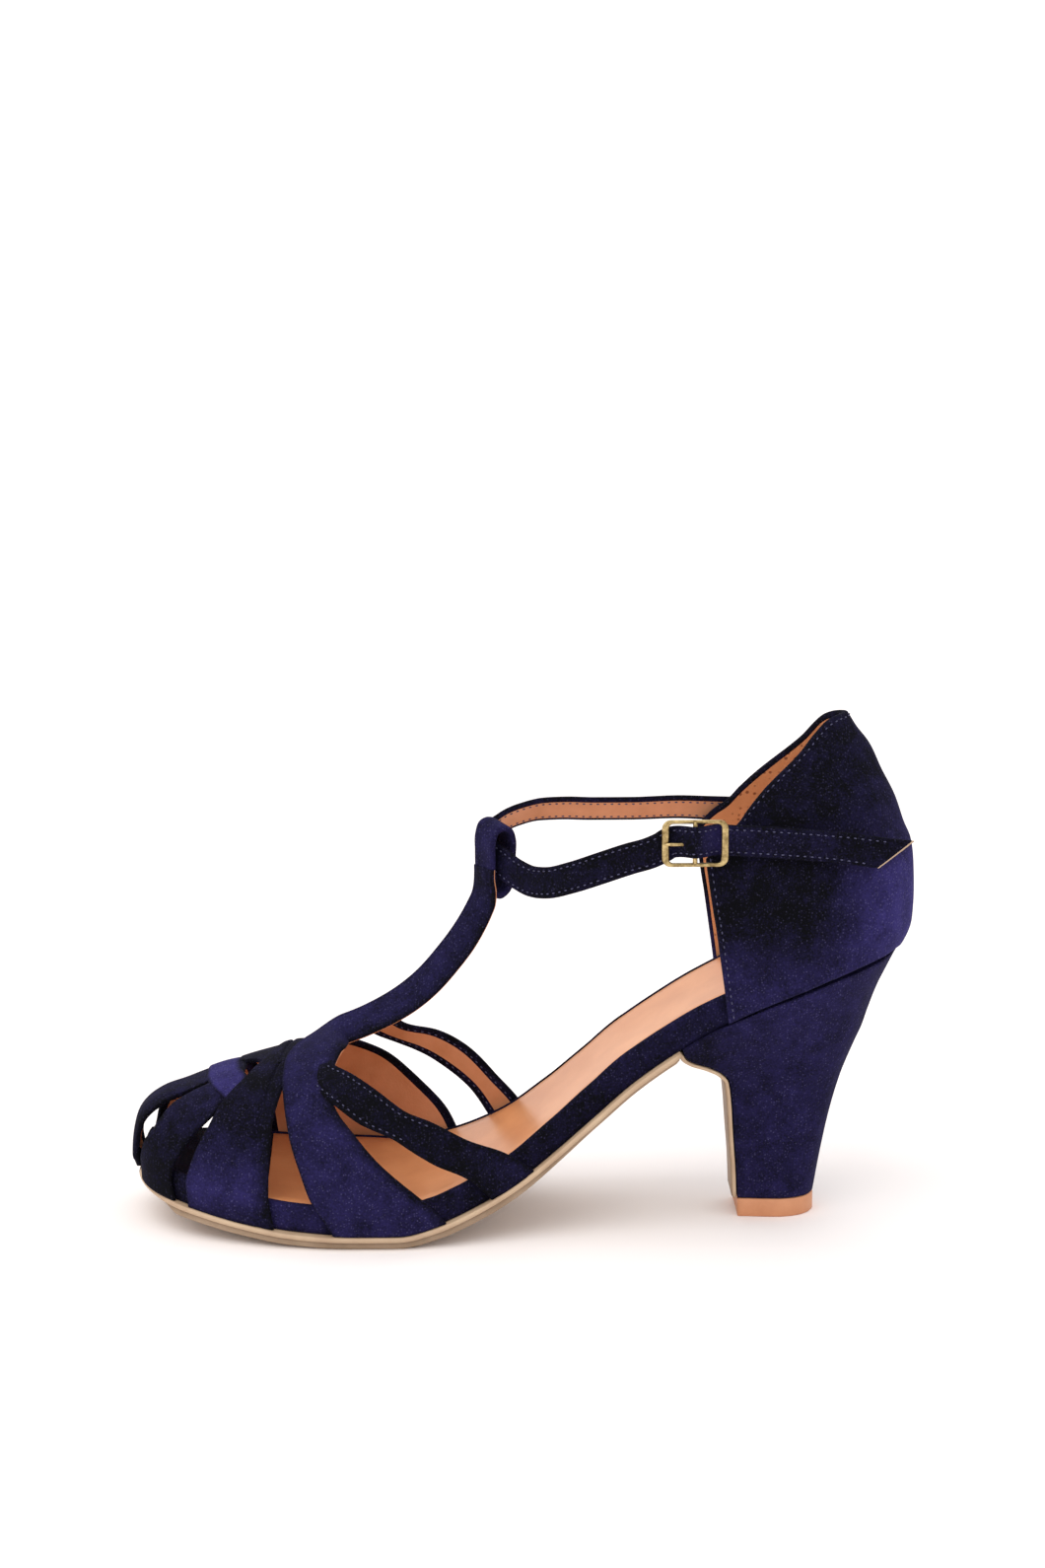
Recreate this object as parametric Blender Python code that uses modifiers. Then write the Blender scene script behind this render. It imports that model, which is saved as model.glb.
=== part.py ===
# Velvet T-strap heel, one left shoe. Metres, +Z up, toe towards -X, buckle side towards -Y.
# The ground is z = 0 and the origin is the middle of the heel tip's ground face.
import math

import bmesh
import bpy
import numpy as np

CLEAR = 0.0003

# The last
INSOLE_LENGTH = 0.2205
HEEL_OVERHANG = 0.035
BALL_WIDTH = 0.0768
SEAT_RISE = 0.076
TOE_SPRING = 0.010
VAMP_HEIGHT = 0.046

# Thicknesses
FLANGE = 0.0015
TREAD = 0.0022
MIDSOLE = 0.008
SOCK = 0.001
UPPER = 0.002
COUNTER_WALL = 0.0024
BREAST_FLAP = 0.0013
STRAP_THICK = 0.0015
TAB_THICK = 0.0008

# Sole
FLANGE_OUT = 0.0024
MIDSOLE_GAP = 0.0005
TREAD_INSET = 0.0016
RIM = 0.0018
SOCK_DROP = 0.0005

# Heel
HEEL_OUT = 0.0014
HEEL_LIP = 0.0285
TIP_HEIGHT = 0.0055
TIP_LENGTH = 0.0228
TIP_CENTRE = 0.0004

# Counter
COUNTER_HEIGHT = 0.0688
COUNTER_FRONT = 0.0146
MEDIAL_DROP = 0.002

# Straps
T_WIDTH = 0.0118
ANKLE_SPAN = 0.054
ANKLE_HEIGHT = 0.1164
STRAP_WIDTH = 0.0091
STRAP_CROWN = 0.12
LOOP_HEIGHT = 0.0215
LOOP_WALL = 0.0017
LOOP_TILT = 0.15
LOOP_TOP = 0.0002
TAIL_SLANT = 0.0092

# Buckle
BUCKLE_ALONG = 0.7286
BUCKLE_SIDE = -0.0280
TAB_REACH = 0.024
TAB_WIDTH = 0.0082
BUCKLE_LENGTH = 0.019
BUCKLE_HEIGHT = 0.0136
SIDE_BAR = 0.0020
TOP_BAR = 0.0011
BUCKLE_DEPTH = 0.0012
CENTRE_BAR = 0.0014
PRONG = 0.0010

TOE_X = HEEL_OVERHANG - INSOLE_LENGTH
GROUND_LIFT = FLANGE + TREAD + CLEAR

# Outline of the last: along the foot, lateral edge, medial edge (shares of the ball's width)
OUTLINE = [
    (0.000, 0.065, 0.065), (0.007, -0.085, 0.205), (0.020, -0.165, 0.275),
    (0.043, -0.243, 0.340), (0.080, -0.325, 0.412), (0.140, -0.405, 0.477),
    (0.206, -0.461, 0.514), (0.274, -0.486, 0.514), (0.333, -0.488, 0.486),
    (0.388, -0.468, 0.436), (0.456, -0.410, 0.368), (0.524, -0.352, 0.315),
    (0.592, -0.313, 0.288), (0.660, -0.300, 0.282), (0.728, -0.303, 0.288),
    (0.796, -0.315, 0.306), (0.864, -0.318, 0.318), (0.909, -0.300, 0.300),
    (0.946, -0.254, 0.254), (0.973, -0.190, 0.190), (0.989, -0.113, 0.113),
    (1.000, 0.000, 0.000),
]
# Feather line: along the foot, share of the toe spring, share of the seat's rise
FEATHER = [
    (0.000, 1.000, 0.000), (0.017, 0.780, 0.000), (0.048, 0.600, 0.000),
    (0.085, 0.460, 0.000), (0.140, 0.250, 0.000), (0.200, 0.080, 0.000),
    (0.255, 0.010, 0.000), (0.280, 0.000, 0.000), (0.345, 0.000, 0.000),
    (0.390, 0.000, 0.027), (0.420, 0.000, 0.057), (0.456, 0.000, 0.102),
    (0.500, 0.000, 0.172), (0.550, 0.000, 0.280), (0.600, 0.000, 0.403),
    (0.650, 0.000, 0.530), (0.700, 0.000, 0.636), (0.750, 0.000, 0.727),
    (0.800, 0.000, 0.800), (0.860, 0.000, 0.870), (0.930, 0.000, 0.945),
    (1.000, 0.000, 1.000),
]
# Ridge of the instep: along the foot, height over the feather line (share of the vamp's height),
# side offset (share of the ball's width), squareness of the section
RIDGE = [
    (0.000, 0.000, 0.065, 2.50), (0.009, 0.345, 0.065, 2.50), (0.034, 0.495, 0.065, 2.50),
    (0.066, 0.580, 0.063, 2.50), (0.100, 0.675, 0.060, 2.45), (0.138, 0.775, 0.055, 2.40),
    (0.195, 0.893, 0.050, 2.35), (0.238, 0.985, 0.045, 2.30), (0.270, 1.080, 0.040, 2.25),
    (0.324, 1.235, 0.030, 2.20), (0.370, 1.390, 0.020, 2.15), (0.420, 1.600, 0.010, 2.10),
    (0.500, 1.900, 0.000, 2.10), (0.600, 2.200, 0.000, 2.10), (1.000, 3.000, 0.000, 2.10),
]
# Vamp bands, from the toe back: degrees round the last (-90 lateral feather, 0 ridge, 90 medial),
# front edge and rear edge along the foot
BANDS = {
    "m1": [(-90, 0.0002, 0.0009), (-60, 0.0002, 0.0012), (-40, 0.0002, 0.0030),
           (-33, 0.0002, 0.0056), (-25, 0.0002, 0.0121), (-21, 0.0002, 0.0211),
           (-16, 0.0002, 0.0380), (-11, 0.0002, 0.0610), (-9.5, 0.0002, 0.0850),
           (-6, 0.0002, 0.1040), (3, 0.0002, 0.1100), (12, 0.0002, 0.1060),
           (18, 0.0002, 0.0920), (22, 0.0002, 0.0650), (25, 0.0002, 0.0400),
           (28, 0.0002, 0.0220), (32, 0.0002, 0.0105), (38, 0.0002, 0.0062),
           (50, 0.0002, 0.0045), (70, 0.0002, 0.0045), (90, 0.0002, 0.0050)],
    "m0": [(4, 0.1130, 0.1430), (14, 0.1060, 0.1400), (23, 0.0880, 0.1340), (28, 0.0680, 0.1290),
           (33, 0.0500, 0.1220), (40, 0.0345, 0.1100), (50, 0.0240, 0.0930), (64, 0.0195, 0.0780),
           (76, 0.0155, 0.0680), (90, 0.0130, 0.0580)],
    "l1": [(-90, 0.0078, 0.0520), (-82, 0.0082, 0.0475), (-73, 0.0088, 0.0502),
           (-63, 0.0118, 0.0610), (-54, 0.0163, 0.0722), (-44, 0.0265, 0.0915),
           (-36, 0.0345, 0.1090), (-28, 0.0420, 0.1210), (-22, 0.0500, 0.1290),
           (-16, 0.0680, 0.1350), (-12.5, 0.0900, 0.1380), (-6, 0.1060, 0.1410),
           (6, 0.1180, 0.1450)],
    "m2": [(-34, 0.1240, 0.1500), (-21, 0.1050, 0.1480), (-12, 0.0965, 0.1440),
           (-4, 0.0930, 0.1370), (4, 0.0920, 0.1350), (16, 0.0935, 0.1375), (28, 0.0955, 0.1430),
           (40, 0.0975, 0.1490), (52, 0.0990, 0.1540), (64, 0.0980, 0.1580), (76, 0.0930, 0.1600),
           (90, 0.0880, 0.1640)],
    "l2": [(-90, 0.0700, 0.1825), (-80, 0.0685, 0.1756), (-69, 0.0755, 0.1764),
           (-58, 0.0860, 0.1785), (-48, 0.0982, 0.1810), (-37, 0.1105, 0.1880),
           (-28, 0.1245, 0.1950), (-19, 0.1430, 0.2010), (-10, 0.1590, 0.2090),
           (2, 0.1800, 0.2160), (12, 0.1930, 0.2240)],
    "m3": [(-12, 0.1760, 0.2340), (-5, 0.1650, 0.2340), (-1, 0.1560, 0.2340), (1, 0.1420, 0.2342),
           (8, 0.1340, 0.2358), (20, 0.1340, 0.2430), (34, 0.1400, 0.2630), (46, 0.1480, 0.2970),
           (57, 0.1550, 0.3360), (70, 0.1610, 0.3770), (80, 0.1650, 0.4100),
           (90, 0.1700, 0.4330)],
}
# Rear side straps, same columns
SIDE_STRAPS = {
    "l4": [(-90, 0.464, 0.520), (-83, 0.431, 0.482), (-75, 0.386, 0.434), (-65, 0.341, 0.389),
           (-56, 0.293, 0.349), (-46, 0.262, 0.316), (-36, 0.237, 0.287), (-27, 0.216, 0.264),
           (-20, 0.215, 0.262)],
    "m4": [(-6, 0.236, 0.268), (10, 0.253, 0.290), (28, 0.282, 0.322), (44, 0.313, 0.352),
           (57, 0.363, 0.402), (68, 0.405, 0.443), (78, 0.443, 0.478), (84, 0.462, 0.502),
           (90, 0.481, 0.524)],
}
# How far the front and rear edge of each piece stand off the last (shares of the upper's wall)
BAND_LIFTS = {
    "m3": (0.15, -0.10), "l2": (0.60, -0.05), "m2": (0.50, 0.00), "l1": (0.35, 0.05),
    "m0": (0.20, 0.05), "m1": (0.50, 0.15), "l4": (0.15, 0.15), "m4": (0.15, 0.15),
}
# Lateral petal that runs into the T-strap: front edge (along, degrees), rear edge (along, degrees)
PETAL = [
    (0.258, -90, 0.405, -90), (0.230, -80, 0.361, -80), (0.217, -70, 0.317, -70),
    (0.206, -59, 0.286, -59), (0.200, -48, 0.264, -48), (0.1965, -38, 0.255, -38),
    (0.195, -28, 0.260, -29), (0.1975, -14, 0.264, -25), (0.209, -3, 0.268, -22),
    (0.234, 5, 0.272, -19.5),
]
# Front edge of the T-strap: along, height (share of the ankle strap's), side (share of the
# T-strap's width), twist towards the lateral side in degrees, width (share)
T_STRAP = [
    (0.266, 0.498, 0.59, 28, 1.05), (0.292, 0.520, 0.50, 30, 1.02), (0.320, 0.548, 0.46, 33, 1.00),
    (0.345, 0.579, 0.44, 35, 1.00), (0.370, 0.620, 0.42, 37, 0.99), (0.397, 0.680, 0.40, 39, 0.97),
    (0.417, 0.732, 0.38, 40, 0.95), (0.434, 0.788, 0.36, 40, 0.91), (0.443, 0.828, 0.36, 38, 0.88),
    (0.445, 0.861, 0.36, 31, 0.84),
]
# Loop at the top of the T-strap, centre line of its wall: inwards and up (shares of its height)
LOOP = [
    (0.050, 0.10), (0.046, 0.32), (0.043, 0.55), (0.050, 0.80), (0.105, 0.93), (0.205, 0.965),
    (0.320, 0.925), (0.364, 0.82), (0.366, 0.57), (0.355, 0.32), (0.270, 0.10), (0.150, 0.04),
]

# Overhang of the sole's flange from the toe back (share of its full overhang)
FLANGE_GROWTH = [(0.000, 0.10), (0.020, 0.30), (0.060, 0.85), (0.100, 1.00), (1.000, 1.00)]
# Depth of the sole's tread from the toe back (share of its full depth)
TREAD_GROWTH = [(0.000, 0.12), (0.035, 0.15), (0.056, 1.00), (0.450, 1.00), (0.600, 0.40),
                (1.000, 0.40)]
# Heel, from the tip up: share of the way up, front, rear and half width (shares of the tip's length)
HEEL = [
    (0.000, -0.465, 0.535, 0.46), (0.150, -0.482, 0.610, 0.47), (0.330, -0.518, 0.719, 0.50),
    (0.500, -0.548, 0.864, 0.56), (0.640, -0.596, 1.044, 0.66), (0.700, -0.684, 1.132, 0.73),
    (0.775, -0.860, 1.212, 0.83), (0.865, -1.080, 1.325, 0.96), (0.930, -1.180, 1.435, 1.05),
    (1.000, -1.228, 1.560, 1.13),
]
# Counter by height over the seat's end (share of its height): front edge and back from the
# origin, width against the seat (shares of the counter's front for the first two)
COUNTER = [
    (-0.300, -0.96, 2.30, 1.000), (0.000, -1.15, 2.40, 1.030), (0.070, -1.20, 2.55, 1.035),
    (0.115, -1.23, 2.62, 1.030), (0.240, -1.33, 2.65, 0.990), (0.370, -1.42, 2.63, 0.930),
    (0.450, -1.47, 2.58, 0.880), (0.520, -1.50, 2.44, 0.820), (0.635, -1.52, 2.25, 0.710),
    (0.750, -1.54, 1.97, 0.600), (0.850, -1.55, 1.75, 0.510), (0.930, -1.56, 1.46, 0.430),
    (1.020, -1.57, 1.22, 0.360),
]
# Collar: share of the way from front edge to back, height (share of the counter's height)
COLLAR = [
    (0.000, 0.440), (0.040, 0.475), (0.100, 0.530), (0.174, 0.578), (0.243, 0.642),
    (0.333, 0.710), (0.448, 0.780), (0.578, 0.850), (0.746, 0.930), (0.876, 0.982),
    (0.950, 0.995), (1.000, 0.998),
]
# Ankle strap from its medial end round to the buckle: along, side (share of the span), height of
# the middle (share of the strap's height), lean of its top edge inwards in degrees
ANKLE = [
    (0.805, 0.455, 0.990, 28), (0.765, 0.462, 0.993, 31), (0.720, 0.466, 0.996, 33),
    (0.660, 0.462, 0.993, 34), (0.605, 0.440, 0.995, 34), (0.569, 0.407, 1.000, 34),
    (0.537, 0.362, 1.002, 34), (0.506, 0.308, 0.993, 32), (0.4785, 0.246, 0.973, 26),
    (0.461, 0.172, 0.944, 17), (0.462, 0.102, 0.925, 9), (0.472, 0.037, 0.913, 6),
    (0.485, -0.035, 0.900, 5), (0.501, -0.117, 0.884, 5), (0.521, -0.208, 0.874, 8),
    (0.540, -0.296, 0.880, 10), (0.570, -0.376, 0.901, 10), (0.605, -0.437, 0.929, 8),
    (0.645, -0.472, 0.958, 5), (0.668, -0.480, 0.971, 3),
]
# Its tail past the buckle, same columns
TAIL = [
    (0.800, -0.484, 1.001, 0), (0.855, -0.486, 0.994, 0), (0.915, -0.492, 0.985, 0),
    (0.970, -0.502, 0.972, 0), (0.989, -0.506, 0.968, 0),
]


def along(share):
    return TOE_X + share * INSOLE_LENGTH


def turn(share):
    return math.acos(1 - 2 * min(1, max(0, share)))


def curve_through(table, column, share, rounded=False):
    xs = np.array([turn(row[0]) if rounded else row[0] for row in table])
    ys = np.array([row[column] for row in table])
    x = turn(share) if rounded else share
    steps = np.diff(xs)
    slopes = np.diff(ys) / steps
    tangents = np.empty(len(xs))
    tangents[0] = slopes[0]
    tangents[-1] = slopes[-1]
    for i in range(1, len(xs) - 1):
        before, after = slopes[i - 1], slopes[i]
        tangents[i] = 2 * before * after / (before + after) if before * after > 0 else 0
    i = int(np.clip(np.searchsorted(xs, x) - 1, 0, len(xs) - 2))
    t = min(1, max(0, (x - xs[i]) / steps[i]))
    ends = ys[i] * (1 + 2 * t) * (1 - t) ** 2 + ys[i + 1] * t * t * (3 - 2 * t)
    bends = tangents[i] * t * (1 - t) ** 2 - tangents[i + 1] * t * t * (1 - t)
    return ends + steps[i] * bends


def share_of(x):
    return (x - TOE_X) / INSOLE_LENGTH


def feather(x):
    share = share_of(x)
    spring = TOE_SPRING * curve_through(FEATHER, 1, share)
    return GROUND_LIFT + spring + SEAT_RISE * curve_through(FEATHER, 2, share)


def feather_normal(x):
    step = INSOLE_LENGTH / 1000
    slope = (feather(x + step) - feather(x - step)) / (2 * step)
    return np.array([-slope, 0, 1]) / math.hypot(slope, 1)


def outline_points(side, out, growth=((0, 1), (1, 1))):
    """Edge of the last on one side, moved outwards, from the toe to the heel."""
    turns = np.linspace(0, math.pi, 241)
    shares = (1 - np.cos(turns)) / 2
    column = 1 if side < 0 else 2
    ys = [BALL_WIDTH * curve_through(OUTLINE, column, share, rounded=True) for share in shares]
    points = np.column_stack([[along(share) for share in shares], ys])
    tangents = np.gradient(points, axis=0)
    tangents /= np.linalg.norm(tangents, axis=1)[:, None]
    normals = np.column_stack([-tangents[:, 1], tangents[:, 0]]) * side
    normals[0] = (-1, 0)
    normals[-1] = (1, 0)
    outs = np.array([out * curve_through(growth, 1, share) for share in shares])
    return points + outs[:, None] * normals


def make_edge(out, growth=((0, 1), (1, 1))):
    sides = {side: outline_points(side, out, growth) for side in (-1, 1)}

    def edge(side, x):
        return float(np.interp(x, sides[side][:, 0], sides[side][:, 1]))
    return edge


last_edge = make_edge(0)
inner_edge = make_edge(-MIDSOLE_GAP)


def last_point(x, degrees, out=0.0):
    """Point of the last at a station along the foot and an angle round it, moved outwards."""
    share = share_of(x)
    height = VAMP_HEIGHT * curve_through(RIDGE, 1, share, rounded=True)
    ridge = BALL_WIDTH * curve_through(RIDGE, 2, share)
    power = 2 / curve_through(RIDGE, 3, share)
    angle = math.radians(degrees)
    edge = last_edge(-1 if degrees < 0 else 1, x)
    y = ridge + (edge - ridge) * abs(math.sin(angle)) ** power
    z = feather(x) + height * abs(math.cos(angle)) ** power
    point = np.array([x, y, z])
    return point + out * last_normal(x, degrees) if out else point


def last_normal(x, degrees):
    step = INSOLE_LENGTH / 800
    front = max(TOE_X + step / 10, x - step)
    lengthwise = last_point(x + step, degrees) - last_point(front, degrees)
    round_it = last_point(x, min(90, degrees + 2)) - last_point(x, max(-90, degrees - 2))
    normal = np.cross(lengthwise, round_it)
    return normal / np.linalg.norm(normal)


def material(name, colour, roughness, metallic=0.0):
    made = bpy.data.materials.new(name)
    made.use_nodes = True
    surface = made.node_tree.nodes["Principled BSDF"]
    surface.inputs["Base Color"].default_value = (*colour, 1)
    surface.inputs["Roughness"].default_value = roughness
    surface.inputs["Metallic"].default_value = metallic
    return made


def add_object(name, verts, faces, collection, paint=None):
    mesh = bpy.data.meshes.new(name)
    mesh.from_pydata([tuple(vert) for vert in verts], [], faces)
    if paint:
        mesh.materials.append(paint)
    made = bpy.data.objects.new(name, mesh)
    collection.objects.link(made)
    bm = bmesh.new()
    bm.from_mesh(mesh)
    bmesh.ops.remove_doubles(bm, verts=bm.verts, dist=CLEAR / 100)
    if all(edge.is_manifold for edge in bm.edges):
        bmesh.ops.recalc_face_normals(bm, faces=bm.faces)
    bm.to_mesh(mesh)
    bm.free()
    return made


def loft(name, rings, collection, paint=None, ruled_ends=False):
    """Closed solid through rings of equal count; ruled ends join each ring's two sides."""
    count = len(rings[0])
    verts = [point for ring in rings for point in ring]
    faces = [tuple(range(count)), tuple(range(len(verts) - count, len(verts)))]
    if ruled_ends:
        faces = [(first + i, first + i + 1, first + count - 2 - i, first + count - 1 - i)
                 for first in (0, len(verts) - count) for i in range(count // 2 - 1)]
    for row in range(len(rings) - 1):
        for i in range(count):
            here = row * count + i
            beside = row * count + (i + 1) % count
            faces.append((here, here + count, beside + count, beside))
    return add_object(name, verts, faces, collection, paint)


def sheet(name, rows, thickness, collection, paint=None):
    """Open surface through equal rows, thickened along its own normals."""
    count = len(rows[0])
    verts = [point for row in rows for point in row]
    faces = []
    for row in range(len(rows) - 1):
        for i in range(count - 1):
            here = row * count + i
            faces.append((here, here + 1, here + count + 1, here + count))
    made = add_object(name, verts, faces, collection, paint)
    solidify = made.modifiers.new("Thickness", "SOLIDIFY")
    solidify.thickness = thickness
    solidify.offset = 1
    solidify.use_even_offset = True
    made.modifiers.new("Flat faces", "TRIANGULATE")
    return made


def combine(target, operation, other, tools):
    boolean = target.modifiers.new(other.name, "BOOLEAN")
    boolean.operation = operation
    boolean.solver = "EXACT"
    boolean.object = other
    other.hide_render = True
    other.display_type = "WIRE"
    for collection in list(other.users_collection):
        collection.objects.unlink(other)
    tools.objects.link(other)


def resample(points, count):
    points = np.array(points, float)
    steps = np.diff(points[:, :3], axis=0)
    lengths = np.concatenate([[0], np.cumsum(np.linalg.norm(steps, axis=1))])
    places = np.linspace(0, lengths[-1], count)
    return np.column_stack([np.interp(places, lengths, points[:, i]) for i in range(points.shape[1])])


def smooth_path(table, count):
    """Rows of a table read as one smooth path, at evenly spaced places."""
    rows = np.array(table, float)
    gaps = np.concatenate([[0], np.cumsum(np.linalg.norm(np.diff(rows[:, :3], axis=0), axis=1))])
    keyed = [(gap, *row) for gap, row in zip(gaps, rows)]
    dense = [[curve_through(keyed, column + 1, place) for column in range(rows.shape[1])]
             for place in np.linspace(0, gaps[-1], count * 6)]
    return resample(dense, count)


def place_on_last(along_share, degrees, lift):
    """Point of a band; its foot stands clear of the sole's edge all through its thickness."""
    x = along(along_share)
    point = last_point(x, degrees, lift)
    if abs(degrees) == 90:
        outer_x = x + UPPER * last_normal(x, degrees)[0]
        point[2] = max(feather(x), feather(outer_x))
    return point


def band_rows(table, lifts, row_count, column_count):
    """Band across the last, its front edge lying over the band before it."""
    keyed = [(i, *row) for i, row in enumerate(table)]
    lift_front, lift_rear = lifts[0] * UPPER, lifts[1] * UPPER
    rows = []
    for place in np.linspace(0, len(table) - 1, row_count):
        degrees, front, rear = [curve_through(keyed, column, place) for column in (1, 2, 3)]
        fade = min(1, (90 - abs(degrees)) / 35)
        row = []
        for step in np.linspace(0, 1, column_count):
            lift = fade * (lift_front * (1 - step) + lift_rear * step)
            share = (1 - math.cos(turn(front) + (turn(rear) - turn(front)) * step)) / 2
            row.append(place_on_last(share, degrees, lift))
        rows.append(row)
    return rows


def petal_rows(column_count):
    rows = []
    keyed = [(i, *row) for i, row in enumerate(PETAL)]
    for place in np.linspace(0, len(PETAL) - 1, 2 * len(PETAL) - 1):
        ends = [curve_through(keyed, column, place) for column in (1, 2, 3, 4)]
        fade = min(1, (90 - abs(ends[1])) / 35)
        row = []
        for step in np.linspace(0, 1, column_count):
            share = ends[0] + (ends[2] - ends[0]) * step
            degrees = ends[1] + (ends[3] - ends[1]) * step
            row.append(place_on_last(share, degrees, 0.70 * UPPER * fade * (1 - step)))
        rows.append(row)
    return rows


def t_frames():
    """Front edge, width direction, outward direction and width at each station of the T-strap."""
    table = smooth_path([(row[0] * INSOLE_LENGTH, row[1] * ANKLE_HEIGHT, 0, *row[2:])
                         for row in T_STRAP], 21)
    edges = np.column_stack([TOE_X + table[:, 0], table[:, 3] * T_WIDTH, table[:, 1]])
    tangents = np.gradient(edges, axis=0)
    frames = []
    for edge, tangent, twist, width in zip(edges, tangents, table[:, 4], table[:, 5]):
        rise = math.atan2(tangent[2], tangent[0])
        front = np.array([-math.sin(rise), 0, math.cos(rise)])
        lateral = np.array([0, -1, 0])
        angle = math.radians(twist)
        across = lateral * math.cos(angle) - front * math.sin(angle)
        outward = front * math.cos(angle) + lateral * math.sin(angle)
        frames.append((edge, across, outward, width * T_WIDTH))
    return frames


def build_vamp(parts, tools, paint):
    columns = 6
    rows = petal_rows(columns)
    for edge, across, outward, width in t_frames():
        row = []
        for step in np.linspace(0, 1, columns):
            crown = 0.25 * UPPER * (1 - (2 * step - 1) ** 2)
            row.append(edge + across * width * step + outward * (crown - UPPER))
        rows.append(row)
    vamp = sheet("vamp", rows, UPPER, parts, paint)
    for name in ("m3", "l2", "m2", "l1", "m0", "m1"):
        row_count = max(15, len(BANDS[name]))
        rows = band_rows(BANDS[name], BAND_LIFTS[name], row_count, 6)
        combine(vamp, "UNION", sheet("band_" + name, rows, UPPER, parts), tools)
    for name, table in SIDE_STRAPS.items():
        rows = band_rows(table, BAND_LIFTS[name], 15, 4)
        combine(vamp, "UNION", sheet("strap_" + name, rows, UPPER, parts), tools)
    combine(vamp, "UNION", build_loop(parts), tools)
    return vamp


def build_loop(parts):
    edge, across, outward, width = t_frames()[-1]
    middle = edge + across * width / 2
    base = np.array([middle[0], middle[1], ANKLE_HEIGHT + LOOP_TOP - LOOP_HEIGHT])
    inward = np.array([-outward[0], -outward[1], 0])
    inward /= np.linalg.norm(inward)
    side = np.array([-inward[1], inward[0], 0]) * -1
    path = np.array(LOOP + LOOP[:1]) * LOOP_HEIGHT
    path = resample(path, 33)[:-1]
    tangents = np.roll(path, -1, axis=0) - np.roll(path, 1, axis=0)
    tangents /= np.linalg.norm(tangents, axis=1)[:, None]
    normals = np.column_stack([tangents[:, 1], -tangents[:, 0]])
    verts = []
    for point, normal in zip(path, normals):
        for wall in (-0.5, 0.5):
            spot = point + normal * wall * LOOP_WALL
            for half in (-0.5, 0.5):
                verts.append(base + inward * spot[0] + side * half * width
                             + np.array([0, 0, spot[1] - LOOP_TILT * half * width]))
    count = len(path)
    faces = []
    for i in range(count):
        here, after = 4 * i, 4 * ((i + 1) % count)
        for first, second in ((0, 1), (1, 3), (3, 2), (2, 0)):
            faces.append((here + first, after + first, after + second, here + second))
    return add_object("t_loop", verts, faces, parts)


def stations(start, end, count):
    turns = np.linspace(0, math.pi, count)
    return start + (end - start) * (1 - np.cos(turns)) / 2


def build_outsole(parts, paint):
    flange = make_edge(FLANGE_OUT, FLANGE_GROWTH)
    start = TOE_X - FLANGE_OUT * FLANGE_GROWTH[0][1] + CLEAR / 3
    xs = list(stations(start, -2 * HEEL_LIP - start, 89)[:45])
    xs = [x for x in xs if x < -HEEL_LIP] + [-HEEL_LIP]
    path = [(x, feather(x) - CLEAR) for x in xs]
    widths = [(flange(-1, x), flange(1, x)) for x in xs]
    layers = [(FLANGE, TREAD * curve_through(TREAD_GROWTH, 1, share_of(x))) for x in xs]
    for level in (0.90, 0.83, 0.775, 0.73, 0.68, 0.62, 0.54, 0.44, 0.33, 0.22, 0.11, 0.0):
        front, width = heel_front(level)
        path.append((front[0] - CLEAR, front[1] - CLEAR * min(1, 2 * level)))
        widths.append((-width, width))
        layers.append((0.8 * BREAST_FLAP, 0.2 * BREAST_FLAP))
    path = np.array(path)
    tangents = np.gradient(path, axis=0)
    tangents /= np.linalg.norm(tangents, axis=1)[:, None]
    rings = []
    for spot, tangent, (left, right), (upper, lower) in zip(path, tangents, widths, layers):
        down = np.array([tangent[1], 0, -tangent[0]])
        inset = min(TREAD_INSET, (right - left) / 5)
        ring = []
        for y, depth in ((left, 0), (left, upper), (left + inset, upper),
                         (left + inset, upper + lower), (right - inset, upper + lower),
                         (right - inset, upper), (right, upper), (right, 0)):
            ring.append(np.array([spot[0], y, spot[1]]) + down * depth)
        rings.append(ring)
    return loft("outsole", rings, parts, paint)


def heel_level(level):
    front = TIP_CENTRE + TIP_LENGTH * curve_through(HEEL, 1, level)
    rear = TIP_CENTRE + TIP_LENGTH * curve_through(HEEL, 2, level)
    return front, rear, TIP_LENGTH * curve_through(HEEL, 3, level)


def heel_height(x, level):
    base = TIP_HEIGHT + CLEAR
    return base + (feather(x) - CLEAR - base) * level


def heel_front(level):
    front, rear, width = heel_level(level)
    return (front, heel_height(front, level)), width * heel_shape()[0][1]


def heel_shape():
    """Half outline of the heel's seat: way back and width as shares."""
    seat = make_edge(HEEL_OUT)
    front, rear, width = heel_level(1)
    shares = np.sin(np.linspace(0, math.pi / 2, 13))
    return [(share, abs(seat(1, front + (rear - front) * share)) / width) for share in shares]


def heel_ring(level, height=None):
    front, rear, width = heel_level(level)
    ring = []
    for share, side in heel_shape():
        x = front + (rear - front) * share
        ring.append((x, -width * side, heel_height(x, level) if height is None else height))
    return ring + [(x, -y, z) for x, y, z in ring[::-1]]


def build_heel(parts, paint):
    return loft("heel", [heel_ring(level) for level in
                         (0, 0.12, 0.25, 0.38, 0.5, 0.6, 0.68, 0.74, 0.8, 0.86, 0.92, 0.96, 1)],
                parts, paint, ruled_ends=True)


def build_heel_tip(parts, paint):
    return loft("heel_tip", [heel_ring(0, 0), heel_ring(0, TIP_HEIGHT)], parts, paint,
                ruled_ends=True)


def midsole_stations():
    return stations(TOE_X + 2 * CLEAR, HEEL_OVERHANG - 2 * CLEAR, 57)


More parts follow.
